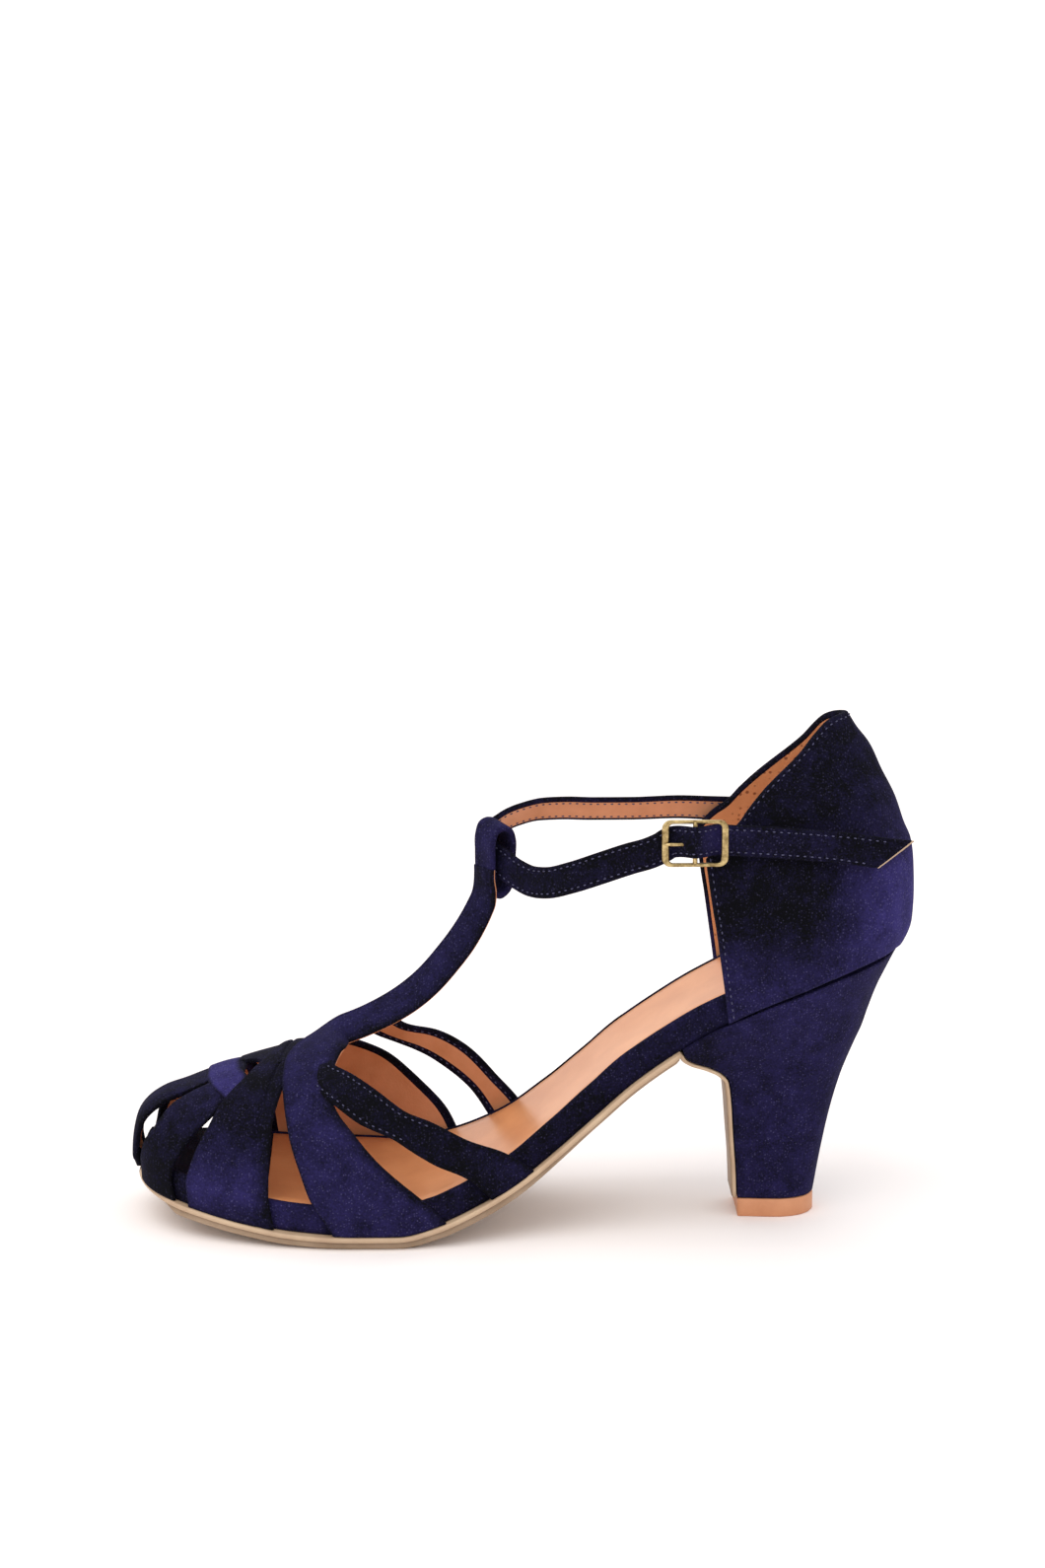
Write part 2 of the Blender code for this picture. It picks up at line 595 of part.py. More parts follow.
def midsole_section(x):
    """Half widths and heights of the midsole and its recess at one station."""
    share = share_of(x)
    height = VAMP_HEIGHT * curve_through(RIDGE, 1, share, rounded=True)
    power = curve_through(RIDGE, 3, share)
    tall = 1 / feather_normal(x)[2]
    thickness = min(MIDSOLE * tall, 0.55 * height)
    from_end = min(x - TOE_X, HEEL_OVERHANG - x)
    fade = min(1, max(0, from_end / (MIDSOLE / 8) - 1))
    recess = min((SOCK + SOCK_DROP + CLEAR) * tall, 0.4 * thickness) * fade
    ridge = BALL_WIDTH * curve_through(RIDGE, 2, share)
    sides = {}
    for side in (-1, 1):
        edge = inner_edge(side, x)
        levels = []
        for level in (0, 0.5, 1):
            cosine = (level * thickness / height) ** (power / 2)
            levels.append(ridge + (edge - ridge) * math.sqrt(1 - cosine ** 2) ** (2 / power))
        sides[side] = levels
    rim = min(RIM, 0.15 * (sides[1][2] - sides[-1][2]))
    return sides, thickness, recess, rim, tall


def build_midsole(parts, paint):
    rings = []
    for x in midsole_stations():
        sides, thickness, recess, rim, tall = midsole_section(x)
        floor = feather(x)
        half = {}
        for side in (-1, 1):
            low, middle, top = sides[side]
            half[side] = [(x, low, floor), (x, middle, floor + thickness / 2),
                          (x, top, floor + thickness), (x, top - side * rim, floor + thickness),
                          (x, top - side * rim, floor + thickness - recess)]
        rings.append(half[-1] + half[1][::-1])
    return loft("midsole", rings, parts, paint)


def build_sock(parts, paint):
    rings = []
    for x in midsole_stations():
        sides, thickness, recess, rim, tall = midsole_section(x)
        if recess < (SOCK + SOCK_DROP + CLEAR) * tall - CLEAR / 10:
            continue
        low = feather(x) + thickness - recess + CLEAR
        left = sides[-1][2] + rim + CLEAR
        right = sides[1][2] - rim - CLEAR
        if right - left < 4 * RIM:
            continue
        rings.append([(x, left, low), (x, left, low + SOCK * tall), (x, right, low + SOCK * tall),
                      (x, right, low)])
    return loft("insole_sock", rings[1:-1], parts, paint)


def build_counter(parts, paint):
    sides = {side: outline_points(side, 0) for side in (-1, 1)}
    lateral = sides[-1][sides[-1][:, 0] > -COUNTER_FRONT]
    medial = sides[1][sides[1][:, 0] > -COUNTER_FRONT][::-1]
    base = resample(np.vstack([lateral, medial[1:]]), 31)
    front_x, back_x = base[0][0], base[:, 0].max()
    seat = GROUND_LIFT + SEAT_RISE
    columns = []
    for x, y in base:
        share = (x - front_x) / (back_x - front_x)
        low = feather(x + COUNTER_WALL * share ** 2) + CLEAR + 0.45 * COUNTER_WALL * share ** 4
        high = seat + COUNTER_HEIGHT * curve_through(COLLAR, 1, share)
        if y > 0:
            high -= MEDIAL_DROP * math.sin(math.pi * share)
        column = []
        for step in np.linspace(0, 1, 11):
            z = low + (high - low) * step
            level = (z - seat) / COUNTER_HEIGHT
            front = COUNTER_FRONT * curve_through(COUNTER, 1, level)
            back = COUNTER_FRONT * curve_through(COUNTER, 2, level)
            column.append((front + (back - front) * share, y * curve_through(COUNTER, 3, level), z))
        columns.append(column[::-1])
    return sheet("quarter", columns, COUNTER_WALL, parts, paint)


def ribbon_frames(path, leans):
    tangents = np.gradient(path, axis=0)
    tangents /= np.linalg.norm(tangents, axis=1)[:, None]
    frames = []
    for tangent, lean in zip(tangents, leans):
        outward = np.cross(tangent, (0, 0, 1))
        outward /= np.linalg.norm(outward)
        angle = math.radians(lean)
        upward = np.array([0, 0, 1]) * math.cos(angle) - outward * math.sin(angle)
        upward -= tangent * np.dot(upward, tangent)
        upward /= np.linalg.norm(upward)
        frames.append((tangent, upward, np.cross(tangent, upward)))
    return frames


def ribbon(name, path, leans, width, thickness, parts, paint, slant=0.0):
    rings = []
    for i, (point, (tangent, upward, outward)) in enumerate(zip(path, ribbon_frames(path, leans))):
        fade = max(0, 1 - (len(path) - 1 - i) / 8)
        ring = []
        for high, out in ((-0.5, -0.5), (0, -0.5), (0.5, -0.5), (0.5, 0.5),
                          (0, 0.5 + STRAP_CROWN), (-0.5, 0.5)):
            shift = tangent * slant * fade * high
            ring.append(point + upward * width * high + outward * thickness * out + shift)
        rings.append(ring)
    return loft(name, rings, parts, paint)


def ankle_path(count):
    """Middle of the ankle strap and its lean, woven behind, over and behind the buckle's bars."""
    def placed(table):
        return [(along(row[0]), row[1] * ANKLE_SPAN, row[2] * ANKLE_HEIGHT, row[3])
                for row in table]
    bar_x = along(BUCKLE_ALONG)
    behind = BUCKLE_SIDE + BUCKLE_DEPTH / 2 + CLEAR + (0.5 + STRAP_CROWN) * STRAP_THICK
    over = CENTRE_BAR / 2 + TAB_THICK + 2 * CLEAR + STRAP_THICK / 2
    far = BUCKLE_LENGTH / 2 - 0.1 * SIDE_BAR
    near = BUCKLE_LENGTH / 2 - 1.25 * SIDE_BAR
    rows = placed(ANKLE)
    rows += [(bar_x - far, behind, 0.985 * ANKLE_HEIGHT, 0),
             (bar_x - near, behind, 0.993 * ANKLE_HEIGHT, 0)]
    for degrees in (-45, -22, 0, 22, 45):
        angle = math.radians(degrees)
        rows.append((bar_x + over * math.sin(angle), BUCKLE_SIDE - over * math.cos(angle),
                     (1 + degrees / 22000) * ANKLE_HEIGHT, 0))
    rows += [(bar_x + near, behind, 1.004 * ANKLE_HEIGHT, 0),
             (bar_x + far, behind, 1.004 * ANKLE_HEIGHT, 0)]
    table = smooth_path(rows + placed(TAIL), count)
    return table[:, :3], table[:, 3]


def build_ankle_strap(parts, tools, paint):
    path, leans = ankle_path(81)
    strap = ribbon("ankle_strap", path, leans, STRAP_WIDTH, STRAP_THICK, parts, paint, TAIL_SLANT)
    hole = prong_tube("prong_hole", PRONG / 2 + CLEAR, parts, None)
    combine(strap, "DIFFERENCE", hole, tools)
    return strap


def build_tab(parts, tools, paint):
    """Band that starts over the counter, runs under the strap and wraps the buckle's bar."""
    bar_x = along(BUCKLE_ALONG)
    reach = (CENTRE_BAR + TAB_THICK) / 2 + CLEAR
    path, leans = ankle_path(241)
    under = STRAP_THICK / 2 + CLEAR + TAB_THICK / 2
    outer, inner = [], []
    for point, (tangent, upward, outward) in zip(path, ribbon_frames(path, leans)):
        past_bar = point[0] - bar_x
        if point[1] < 0 and 0.3 * reach < past_bar < TAB_REACH:
            outer.append(point - outward * under)
        spot = point - outward * (under + TAB_THICK + 2 * CLEAR)
        if BUCKLE_SIDE + reach < spot[1] < 0 and reach < past_bar < 3.6 * reach:
            inner.append(spot)
    wrap = []
    for angle in range(90, 271, 15):
        turned = math.radians(angle)
        wrap.append((bar_x + reach * math.cos(turned), BUCKLE_SIDE - reach * math.sin(turned), 0))
    path = np.array(outer[::-1] + wrap + inner)
    path[:, 2] = ANKLE_HEIGHT
    path = resample(path, 61)
    tab = ribbon("buckle_tab", path, np.zeros(len(path)), TAB_WIDTH, TAB_THICK, parts, paint)
    slot = block("tab_slot", (bar_x - 2 * reach, BUCKLE_SIDE - 3 * reach, -0.12 * TAB_WIDTH),
                 (bar_x + 1.6 * reach, BUCKLE_SIDE + 3 * reach, 0.12 * TAB_WIDTH), parts)
    combine(tab, "DIFFERENCE", slot, tools)
    return tab


def block(name, low, high, collection):
    xs, ys, zs = zip(low, high)
    verts = [(x, y, ANKLE_HEIGHT + z) for x in xs for y in ys for z in zs]
    faces = [(0, 1, 3, 2), (4, 6, 7, 5), (0, 4, 5, 1), (2, 3, 7, 6), (0, 2, 6, 4), (1, 5, 7, 3)]
    return add_object(name, verts, faces, collection)


def prong_tube(name, radius, collection, paint):
    """Round rod that circles the buckle's bar and lies across to its far side bar."""
    bar_x = along(BUCKLE_ALONG)
    reach = CENTRE_BAR / 2 + CLEAR + PRONG / 2
    rest = BUCKLE_SIDE - BUCKLE_DEPTH / 2 - CLEAR - PRONG / 2
    path = []
    for angle in range(-150, 91, 15):
        turn_angle = math.radians(angle)
        path.append((bar_x + reach * math.cos(turn_angle), BUCKLE_SIDE - reach * math.sin(turn_angle)))
    tip_x = bar_x - BUCKLE_LENGTH / 2 + 0.4 * SIDE_BAR
    for share in (0.2, 0.4, 0.6, 0.8, 0.93, 1.0):
        path.append((bar_x + (tip_x - bar_x) * share, path[-1][1] + (rest - path[-1][1]) * share))
    path = np.array([(x, y, ANKLE_HEIGHT) for x, y in path])
    rings = []
    frames = ribbon_frames(path, np.zeros(len(path)))
    for i, (point, (tangent, upward, outward)) in enumerate(zip(path, frames)):
        size = radius * (0.7 if i == len(path) - 1 else 1)
        rings.append([point + size * (upward * math.sin(turn_angle) + outward * math.cos(turn_angle))
                      for turn_angle in np.linspace(0.25, 0.25 + 2 * math.pi, 8)[:-1]])
    return loft(name, rings, collection, paint)


def rounded_rectangle(length, height, radius, y):
    corners = []
    centre_x = along(BUCKLE_ALONG)
    out, up = length / 2 - radius, height / 2 - radius
    for x_side, z_side, start in ((1, 1, 0), (-1, 1, 90), (-1, -1, 180), (1, -1, 270)):
        for angle in range(start, start + 91, 18):
            turn_angle = math.radians(angle)
            corners.append((centre_x + x_side * out + radius * math.cos(turn_angle), y,
                            ANKLE_HEIGHT + z_side * up + radius * math.sin(turn_angle)))
    return corners


def build_buckle(parts, tools, paint):
    radius = 0.19 * BUCKLE_HEIGHT
    outer = (BUCKLE_LENGTH, BUCKLE_HEIGHT, radius)
    inner = (BUCKLE_LENGTH - 2 * SIDE_BAR, BUCKLE_HEIGHT - 2 * TOP_BAR, radius / 2)
    loops = [rounded_rectangle(*outline, BUCKLE_SIDE + depth * BUCKLE_DEPTH)
             for outline, depth in ((outer, -0.5), (outer, 0.5), (inner, 0.5), (inner, -0.5))]
    count = len(loops[0])
    verts = [point for ring in loops for point in ring]
    faces = []
    for row in range(4):
        for i in range(count):
            here, beside = row * count + i, row * count + (i + 1) % count
            after = (row + 1) % 4 * count
            faces.append((here, after + i, after + (i + 1) % count, beside))
    frame = add_object("buckle_frame", verts, faces, parts, paint)
    bevel = frame.modifiers.new("Edges", "BEVEL")
    bevel.width = 0.2 * BUCKLE_DEPTH
    bevel.segments = 1
    bevel.limit_method = "ANGLE"
    bevel.angle_limit = math.radians(50)
    rings = []
    for side in (-0.5, 0.5):
        height = ANKLE_HEIGHT + side * (BUCKLE_HEIGHT - TOP_BAR)
        rings.append([(along(BUCKLE_ALONG) + CENTRE_BAR / 2 * math.cos(turn_angle),
                       BUCKLE_SIDE + CENTRE_BAR / 2 * math.sin(turn_angle) * 0.92, height)
                      for turn_angle in np.linspace(0, 2 * math.pi, 13)[:-1]])
    combine(frame, "UNION", loft("centre_bar", rings, parts), tools)
    return frame


def main():
    for old in list(bpy.data.objects):
        bpy.data.objects.remove(old)
    parts = bpy.data.collections.new("t_strap_heel")
    tools = bpy.data.collections.new("tools")
    bpy.context.scene.collection.children.link(parts)
    bpy.context.scene.collection.children.link(tools)
    velvet = (0.02, 0.016, 0.09)
    brass = (0.36, 0.27, 0.10)
    build_outsole(parts, material("sole_leather", (0.48, 0.32, 0.18), 0.55))
    build_midsole(parts, material("rand_velvet", velvet, 0.9))
    build_sock(parts, material("sock_leather", (0.66, 0.34, 0.15), 0.45))
    build_heel(parts, material("heel_velvet", velvet, 0.9))
    build_heel_tip(parts, material("tip_rubber", (0.60, 0.32, 0.14), 0.6))
    build_vamp(parts, tools, material("vamp_velvet", velvet, 0.9))
    build_counter(parts, material("counter_velvet", velvet, 0.9))
    build_ankle_strap(parts, tools, material("strap_velvet", velvet, 0.9))
    build_tab(parts, tools, material("tab_velvet", velvet, 0.9))
    build_buckle(parts, tools, material("aged_brass", brass, 0.35, 1.0))
    prong_tube("buckle_prong", PRONG / 2, parts, material("prong_brass", brass, 0.35, 1.0))


main()
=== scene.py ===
# Looks of the velvet T-strap shoe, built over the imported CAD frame. Metres, toe towards -X, buckle at -Y.
import math

import bpy
import numpy as np
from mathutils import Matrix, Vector


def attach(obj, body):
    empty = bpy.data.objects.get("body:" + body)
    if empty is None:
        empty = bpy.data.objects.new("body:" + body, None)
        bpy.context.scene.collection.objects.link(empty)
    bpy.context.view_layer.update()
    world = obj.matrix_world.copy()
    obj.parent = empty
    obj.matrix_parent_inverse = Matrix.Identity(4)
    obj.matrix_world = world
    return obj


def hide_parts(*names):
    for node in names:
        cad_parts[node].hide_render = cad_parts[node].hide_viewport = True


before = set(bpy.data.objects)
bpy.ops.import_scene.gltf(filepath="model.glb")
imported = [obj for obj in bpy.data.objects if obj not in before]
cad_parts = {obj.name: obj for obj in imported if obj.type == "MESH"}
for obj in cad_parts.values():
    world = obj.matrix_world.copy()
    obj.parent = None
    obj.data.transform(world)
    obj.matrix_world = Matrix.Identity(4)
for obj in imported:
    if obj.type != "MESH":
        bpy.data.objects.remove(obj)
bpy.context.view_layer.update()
print("frame loaded with", len(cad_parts), "nodes")


def hexColour(text):  # sRGB hex to linear
    parts = [int(text[i:i + 2], 16) / 255 for i in (1, 3, 5)]
    return [p / 12.92 if p <= 0.04045 else ((p + 0.055) / 1.055) ** 2.4 for p in parts] + [1.0]


def addNode(tree, kind, settings=None, inputs=None):  # inputs: socket name or number -> value or socket
    node = tree.nodes.new(kind)
    for key, value in (settings or {}).items():
        setattr(node, key, value)
    for key, value in (inputs or {}).items():
        if isinstance(value, bpy.types.NodeSocket):
            tree.links.new(value, node.inputs[key])
        else:
            node.inputs[key].default_value = value
    return node


def newMaterial(name, **shader):
    made = bpy.data.materials.new(name)
    made.use_nodes = True
    surface = made.node_tree.nodes["Principled BSDF"]
    for key, value in shader.items():
        surface.inputs[key.replace("_", " ")].default_value = value
    return made, made.node_tree, surface


def mathNode(tree, operation, *values, clamp=False):
    settings = {"operation": operation, "use_clamp": clamp}
    return addNode(tree, "ShaderNodeMath", settings, dict(enumerate(values))).outputs[0]


def rangeNode(tree, value, fromMin, fromMax, toMin=0.0, toMax=1.0):
    given = {"Value": value, "From Min": fromMin, "From Max": fromMax, "To Min": toMin, "To Max": toMax}
    return addNode(tree, "ShaderNodeMapRange", None, given).outputs["Result"]


def noiseNode(tree, place, size, detail=2.0, roughness=0.5):  # size of its grain in metres
    return addNode(tree, "ShaderNodeTexNoise", None, {
        "Vector": place, "Scale": 1 / size, "Detail": detail, "Roughness": roughness}).outputs["Fac"]


def mixNode(tree, share, low, high):
    return addNode(tree, "ShaderNodeMix", {"data_type": "RGBA"}, {0: share, 6: low, 7: high}).outputs[2]


def finishMaterial(tree, surface, tint, height, strength, depth):  # colour and relief into the shader
    bump = addNode(tree, "ShaderNodeBump", None, {"Strength": strength, "Distance": depth, "Height": height})
    tree.links.new(tint, surface.inputs["Base Color"])
    tree.links.new(bump.outputs["Normal"], surface.inputs["Normal"])


# The last: one foot form that every piece is measured from

lastSizes = {
    "insoleLength": 0.2205, "heelOverhang": 0.035, "ballWidth": 0.0768, "seatRise": 0.076,
    "toeSpring": 0.010, "vampHeight": 0.046, "groundLift": 0.004,
    # along the foot, lateral edge, medial edge (shares of the ball's width)
    "outline": [
        (0.000, 0.065, 0.065), (0.007, -0.085, 0.205), (0.020, -0.165, 0.275),
        (0.043, -0.243, 0.340), (0.080, -0.325, 0.412), (0.140, -0.405, 0.477),
        (0.206, -0.461, 0.514), (0.274, -0.486, 0.514), (0.333, -0.488, 0.486),
        (0.388, -0.468, 0.436), (0.456, -0.410, 0.368), (0.524, -0.352, 0.315),
        (0.592, -0.313, 0.288), (0.660, -0.300, 0.282), (0.728, -0.303, 0.288),
        (0.796, -0.315, 0.306), (0.864, -0.318, 0.318), (0.909, -0.300, 0.300),
        (0.946, -0.254, 0.254), (0.973, -0.190, 0.190), (0.989, -0.113, 0.113),
        (1.000, 0.000, 0.000)],
    # feather line: along, share of the toe spring, share of the seat's rise
    "feather": [
        (0.000, 1.000, 0.000), (0.017, 0.780, 0.000), (0.048, 0.600, 0.000),
        (0.085, 0.460, 0.000), (0.140, 0.250, 0.000), (0.200, 0.080, 0.000),
        (0.255, 0.010, 0.000), (0.280, 0.000, 0.000), (0.345, 0.000, 0.000),
        (0.390, 0.000, 0.027), (0.420, 0.000, 0.057), (0.456, 0.000, 0.102),
        (0.500, 0.000, 0.172), (0.550, 0.000, 0.280), (0.600, 0.000, 0.403),
        (0.650, 0.000, 0.530), (0.700, 0.000, 0.636), (0.750, 0.000, 0.727),
        (0.800, 0.000, 0.800), (0.860, 0.000, 0.870), (0.930, 0.000, 0.945),
        (1.000, 0.000, 1.000)],
    # ridge: along, height (share of the vamp's), side offset (share of the ball's width), squareness
    "ridge": [
        (0.000, 0.000, 0.065, 2.50), (0.009, 0.345, 0.065, 2.50), (0.034, 0.495, 0.065, 2.50),
        (0.066, 0.580, 0.063, 2.50), (0.100, 0.675, 0.060, 2.45), (0.138, 0.775, 0.055, 2.40),
        (0.195, 0.893, 0.050, 2.35), (0.238, 0.985, 0.045, 2.30), (0.270, 1.080, 0.040, 2.25),
        (0.324, 1.235, 0.030, 2.20), (0.370, 1.390, 0.020, 2.15), (0.420, 1.600, 0.010, 2.10),
        (0.500, 1.900, 0.000, 2.10), (0.600, 2.200, 0.000, 2.10), (1.000, 3.000, 0.000, 2.10)],
}
insoleLength, ballWidth = lastSizes["insoleLength"], lastSizes["ballWidth"]
toeX = lastSizes["heelOverhang"] - insoleLength
heelX = lastSizes["heelOverhang"]
clearance = 0.0003


def turn(share):
    return np.arccos(1 - 2 * np.clip(share, 0, 1))


def curveThrough(table, column, share, rounded=False):  # smooth curve through a table, no overshoot
    xs = np.array([row[0] for row in table], float)
    ys = np.array([row[column] for row in table], float)
    x = np.asarray(share, float)
    if rounded:
        xs, x = turn(xs), turn(x)
    steps = np.diff(xs)
    slopes = np.diff(ys) / steps
    product, total = slopes[:-1] * slopes[1:], slopes[:-1] + slopes[1:]
    inner = np.where(product > 0, 2 * product / np.where(total == 0, 1, total), 0)
    tangents = np.concatenate([slopes[:1], inner, slopes[-1:]])
    i = np.clip(np.searchsorted(xs, x) - 1, 0, len(xs) - 2)
    t = np.clip((x - xs[i]) / steps[i], 0, 1)
    ends = ys[i] * (1 + 2 * t) * (1 - t) ** 2 + ys[i + 1] * t * t * (3 - 2 * t)
    return ends + steps[i] * (tangents[i] * t * (1 - t) ** 2 - tangents[i + 1] * t * t * (1 - t))


def along(share):
    return toeX + np.asarray(share, float) * insoleLength


def shareOf(x):
    return (np.asarray(x, float) - toeX) / insoleLength


def feather(x):
    share, table = shareOf(x), lastSizes["feather"]
    spring = lastSizes["toeSpring"] * curveThrough(table, 1, share)
    return lastSizes["groundLift"] + spring + lastSizes["seatRise"] * curveThrough(table, 2, share)


def outlineEdge(side, out, growth=((0, 1), (1, 1))):  # edge of the last on one side, moved outwards
    shares = (1 - np.cos(np.linspace(0, math.pi, 721))) / 2
    widths = curveThrough(lastSizes["outline"], 1 if side < 0 else 2, shares, True)
    points = np.column_stack([along(shares), ballWidth * widths])
    tangents = np.gradient(points, axis=0)
    tangents /= np.linalg.norm(tangents, axis=1)[:, None]
    normals = np.column_stack([-tangents[:, 1], tangents[:, 0]]) * side
    normals[0], normals[-1] = (-1, 0), (1, 0)
    return points + out * curveThrough(growth, 1, shares)[:, None] * normals


lastSides = {side: outlineEdge(side, 0) for side in (-1, 1)}


def edgeAt(sides, side, x):
    return np.interp(x, sides[side][:, 0], sides[side][:, 1])


def lastPoint(x, degrees):  # -90 lateral feather, 0 ridge, 90 medial feather
    x, degrees = np.broadcast_arrays(np.asarray(x, float), np.asarray(degrees, float))
    share = shareOf(x)
    height = lastSizes["vampHeight"] * curveThrough(lastSizes["ridge"], 1, share, True)
    middle = ballWidth * curveThrough(lastSizes["ridge"], 2, share)
    power = 2 / curveThrough(lastSizes["ridge"], 3, share)
    angle = np.radians(degrees)
    edge = np.where(degrees < 0, edgeAt(lastSides, -1, x), edgeAt(lastSides, 1, x))
    y = middle + (edge - middle) * np.abs(np.sin(angle)) ** power
    z = feather(x) + height * np.abs(np.cos(angle)) ** power
    return np.stack([x, y, z], axis=-1)


# Grids and shells: every upper piece is a grid of points on its inner face, given a rounded wall

def unit(vectors):
    return vectors / np.maximum(np.linalg.norm(vectors, axis=-1, keepdims=True), 1e-12)


def smoothAlong(values, places):  # rows of values read at new places (0 to 1) along their path
    values = np.asarray(values, float)
    flat = values.reshape(len(values), -1)
    middle = values[:, values.shape[1] // 2, :3] if values.ndim == 3 else values[:, :3]
    gaps = np.concatenate([[0], np.cumsum(np.linalg.norm(np.diff(middle, axis=0), axis=1))])
    keys = gaps / gaps[-1]
    slopes = np.gradient(flat, keys, axis=0)
    places = np.clip(places, 0, 1)
    i = np.clip(np.searchsorted(keys, places, side="right") - 1, 0, len(keys) - 2)
    step = (keys[i + 1] - keys[i])[:, None]
    t = ((places - keys[i])[:, None]) / step
    ends = flat[i] * (1 + 2 * t) * (1 - t) ** 2 + flat[i + 1] * t * t * (3 - 2 * t)
    bends = step * (slopes[i] * t * (1 - t) ** 2 - slopes[i + 1] * t * t * (1 - t))
    return (ends + bends).reshape((len(places),) + values.shape[1:])


def refine(grid, rowCount, columnCount):
    rows = smoothAlong(grid, np.linspace(0, 1, rowCount))
    return smoothAlong(rows.transpose(1, 0, 2), np.linspace(0, 1, columnCount)).transpose(1, 0, 2)


def roundedPlaces(grid, radius, count):  # row places with extra rows where an end is rounded
    middle = grid[:, grid.shape[1] // 2]
    length = np.linalg.norm(np.diff(middle, axis=0), axis=1).sum()
    close = (1 - np.cos(np.linspace(0, math.pi / 2, 6))) * radius / length
    between = np.linspace(close[-1], 1 - close[-1], count)[1:-1]
    return np.concatenate([close, between, 1 - close[::-1]])


def measure(grid, outward):
    steps = np.linalg.norm(np.diff(grid, axis=1), axis=2)
    across = np.concatenate([np.zeros((len(grid), 1)), np.cumsum(steps, axis=1)], axis=1)
    normals = unit(np.cross(np.gradient(grid, axis=0), np.gradient(grid, axis=1))) * outward
    return {"grid": grid, "across": across, "width": across[:, -1], "normals": normals}


def pointsOver(shell, distances, heights):  # places by distance from the front edge and height over the grid
    distances = np.broadcast_to(distances, heights.shape)
    points = np.empty(heights.shape + (3,))
    for row in range(len(distances)):
        for axis in range(3):
            spot = np.interp(distances[row], shell["across"][row], shell["grid"][row, :, axis])
            lean = np.interp(distances[row], shell["across"][row], shell["normals"][row, :, axis])
            points[row, :, axis] = spot + lean * heights[row]
    return points


def addMesh(name, verts, faces, materials, faceSlots=None, smooth=True):
    mesh = bpy.data.meshes.new(name)
    mesh.from_pydata(np.asarray(verts).reshape(-1, 3).tolist(), [], faces)
    for paint in materials:
        mesh.materials.append(paint)
    if faceSlots is not None:
        mesh.polygons.foreach_set("material_index", faceSlots)
    mesh.polygons.foreach_set("use_smooth", [smooth] * len(mesh.polygons))
    made = bpy.data.objects.new(name, mesh)
    bpy.context.scene.collection.objects.link(made)
    return made


def facesOutward(made):  # turns a closed shape whose faces point in
    mesh = made.data
    mesh.calc_loop_triangles()
    corners = np.array([[mesh.vertices[i].co for i in tri.vertices] for tri in mesh.loop_triangles])
    if np.einsum("ij,ij->i", corners[:, 0], np.cross(corners[:, 1], corners[:, 2])).sum() < 0:
        mesh.flip_normals()


def ringMesh(name, rings, materials, sectionSlots=None, closed=False, smooth=True):
    rings = np.asarray(rings, float)
    rowCount, count = rings.shape[:2]
    faces, slots = [], []
    for row in range(rowCount if closed else rowCount - 1):
        here, after = row * count, (row + 1) % rowCount * count
        for i in range(count):
            beside = (i + 1) % count
            faces.append((here + i, after + i, after + beside, here + beside))
            slots.append(sectionSlots[i] if sectionSlots is not None else 0)
    if not closed:
        faces += [tuple(range(count)), tuple(range((rowCount - 1) * count, rowCount * count))[::-1]]
        slots += [0, 0]
    made = addMesh(name, rings, faces, materials, slots, smooth)
    facesOutward(made)
    return made


def paintLightAndShade(made, paintedLight, shade=1.0):  # painted light and shade on the velvet, 0 painted shade to 1 painted light
    points = np.empty(len(made.data.vertices) * 3)
    made.data.vertices.foreach_get("co", points)
    points = points.reshape(-1, 3)
    values = (paintedLight(points) if callable(paintedLight) else np.full(len(points), paintedLight)) * shade
    attribute = made.data.attributes.new("paintedLight", "FLOAT", "POINT")
    attribute.data.foreach_set("value", np.clip(values, 0, 1).astype(np.float32))


def finishPiece(made, slotName, *nodes):
    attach(made, "root")
    if nodes:
        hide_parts(*nodes)
    return made


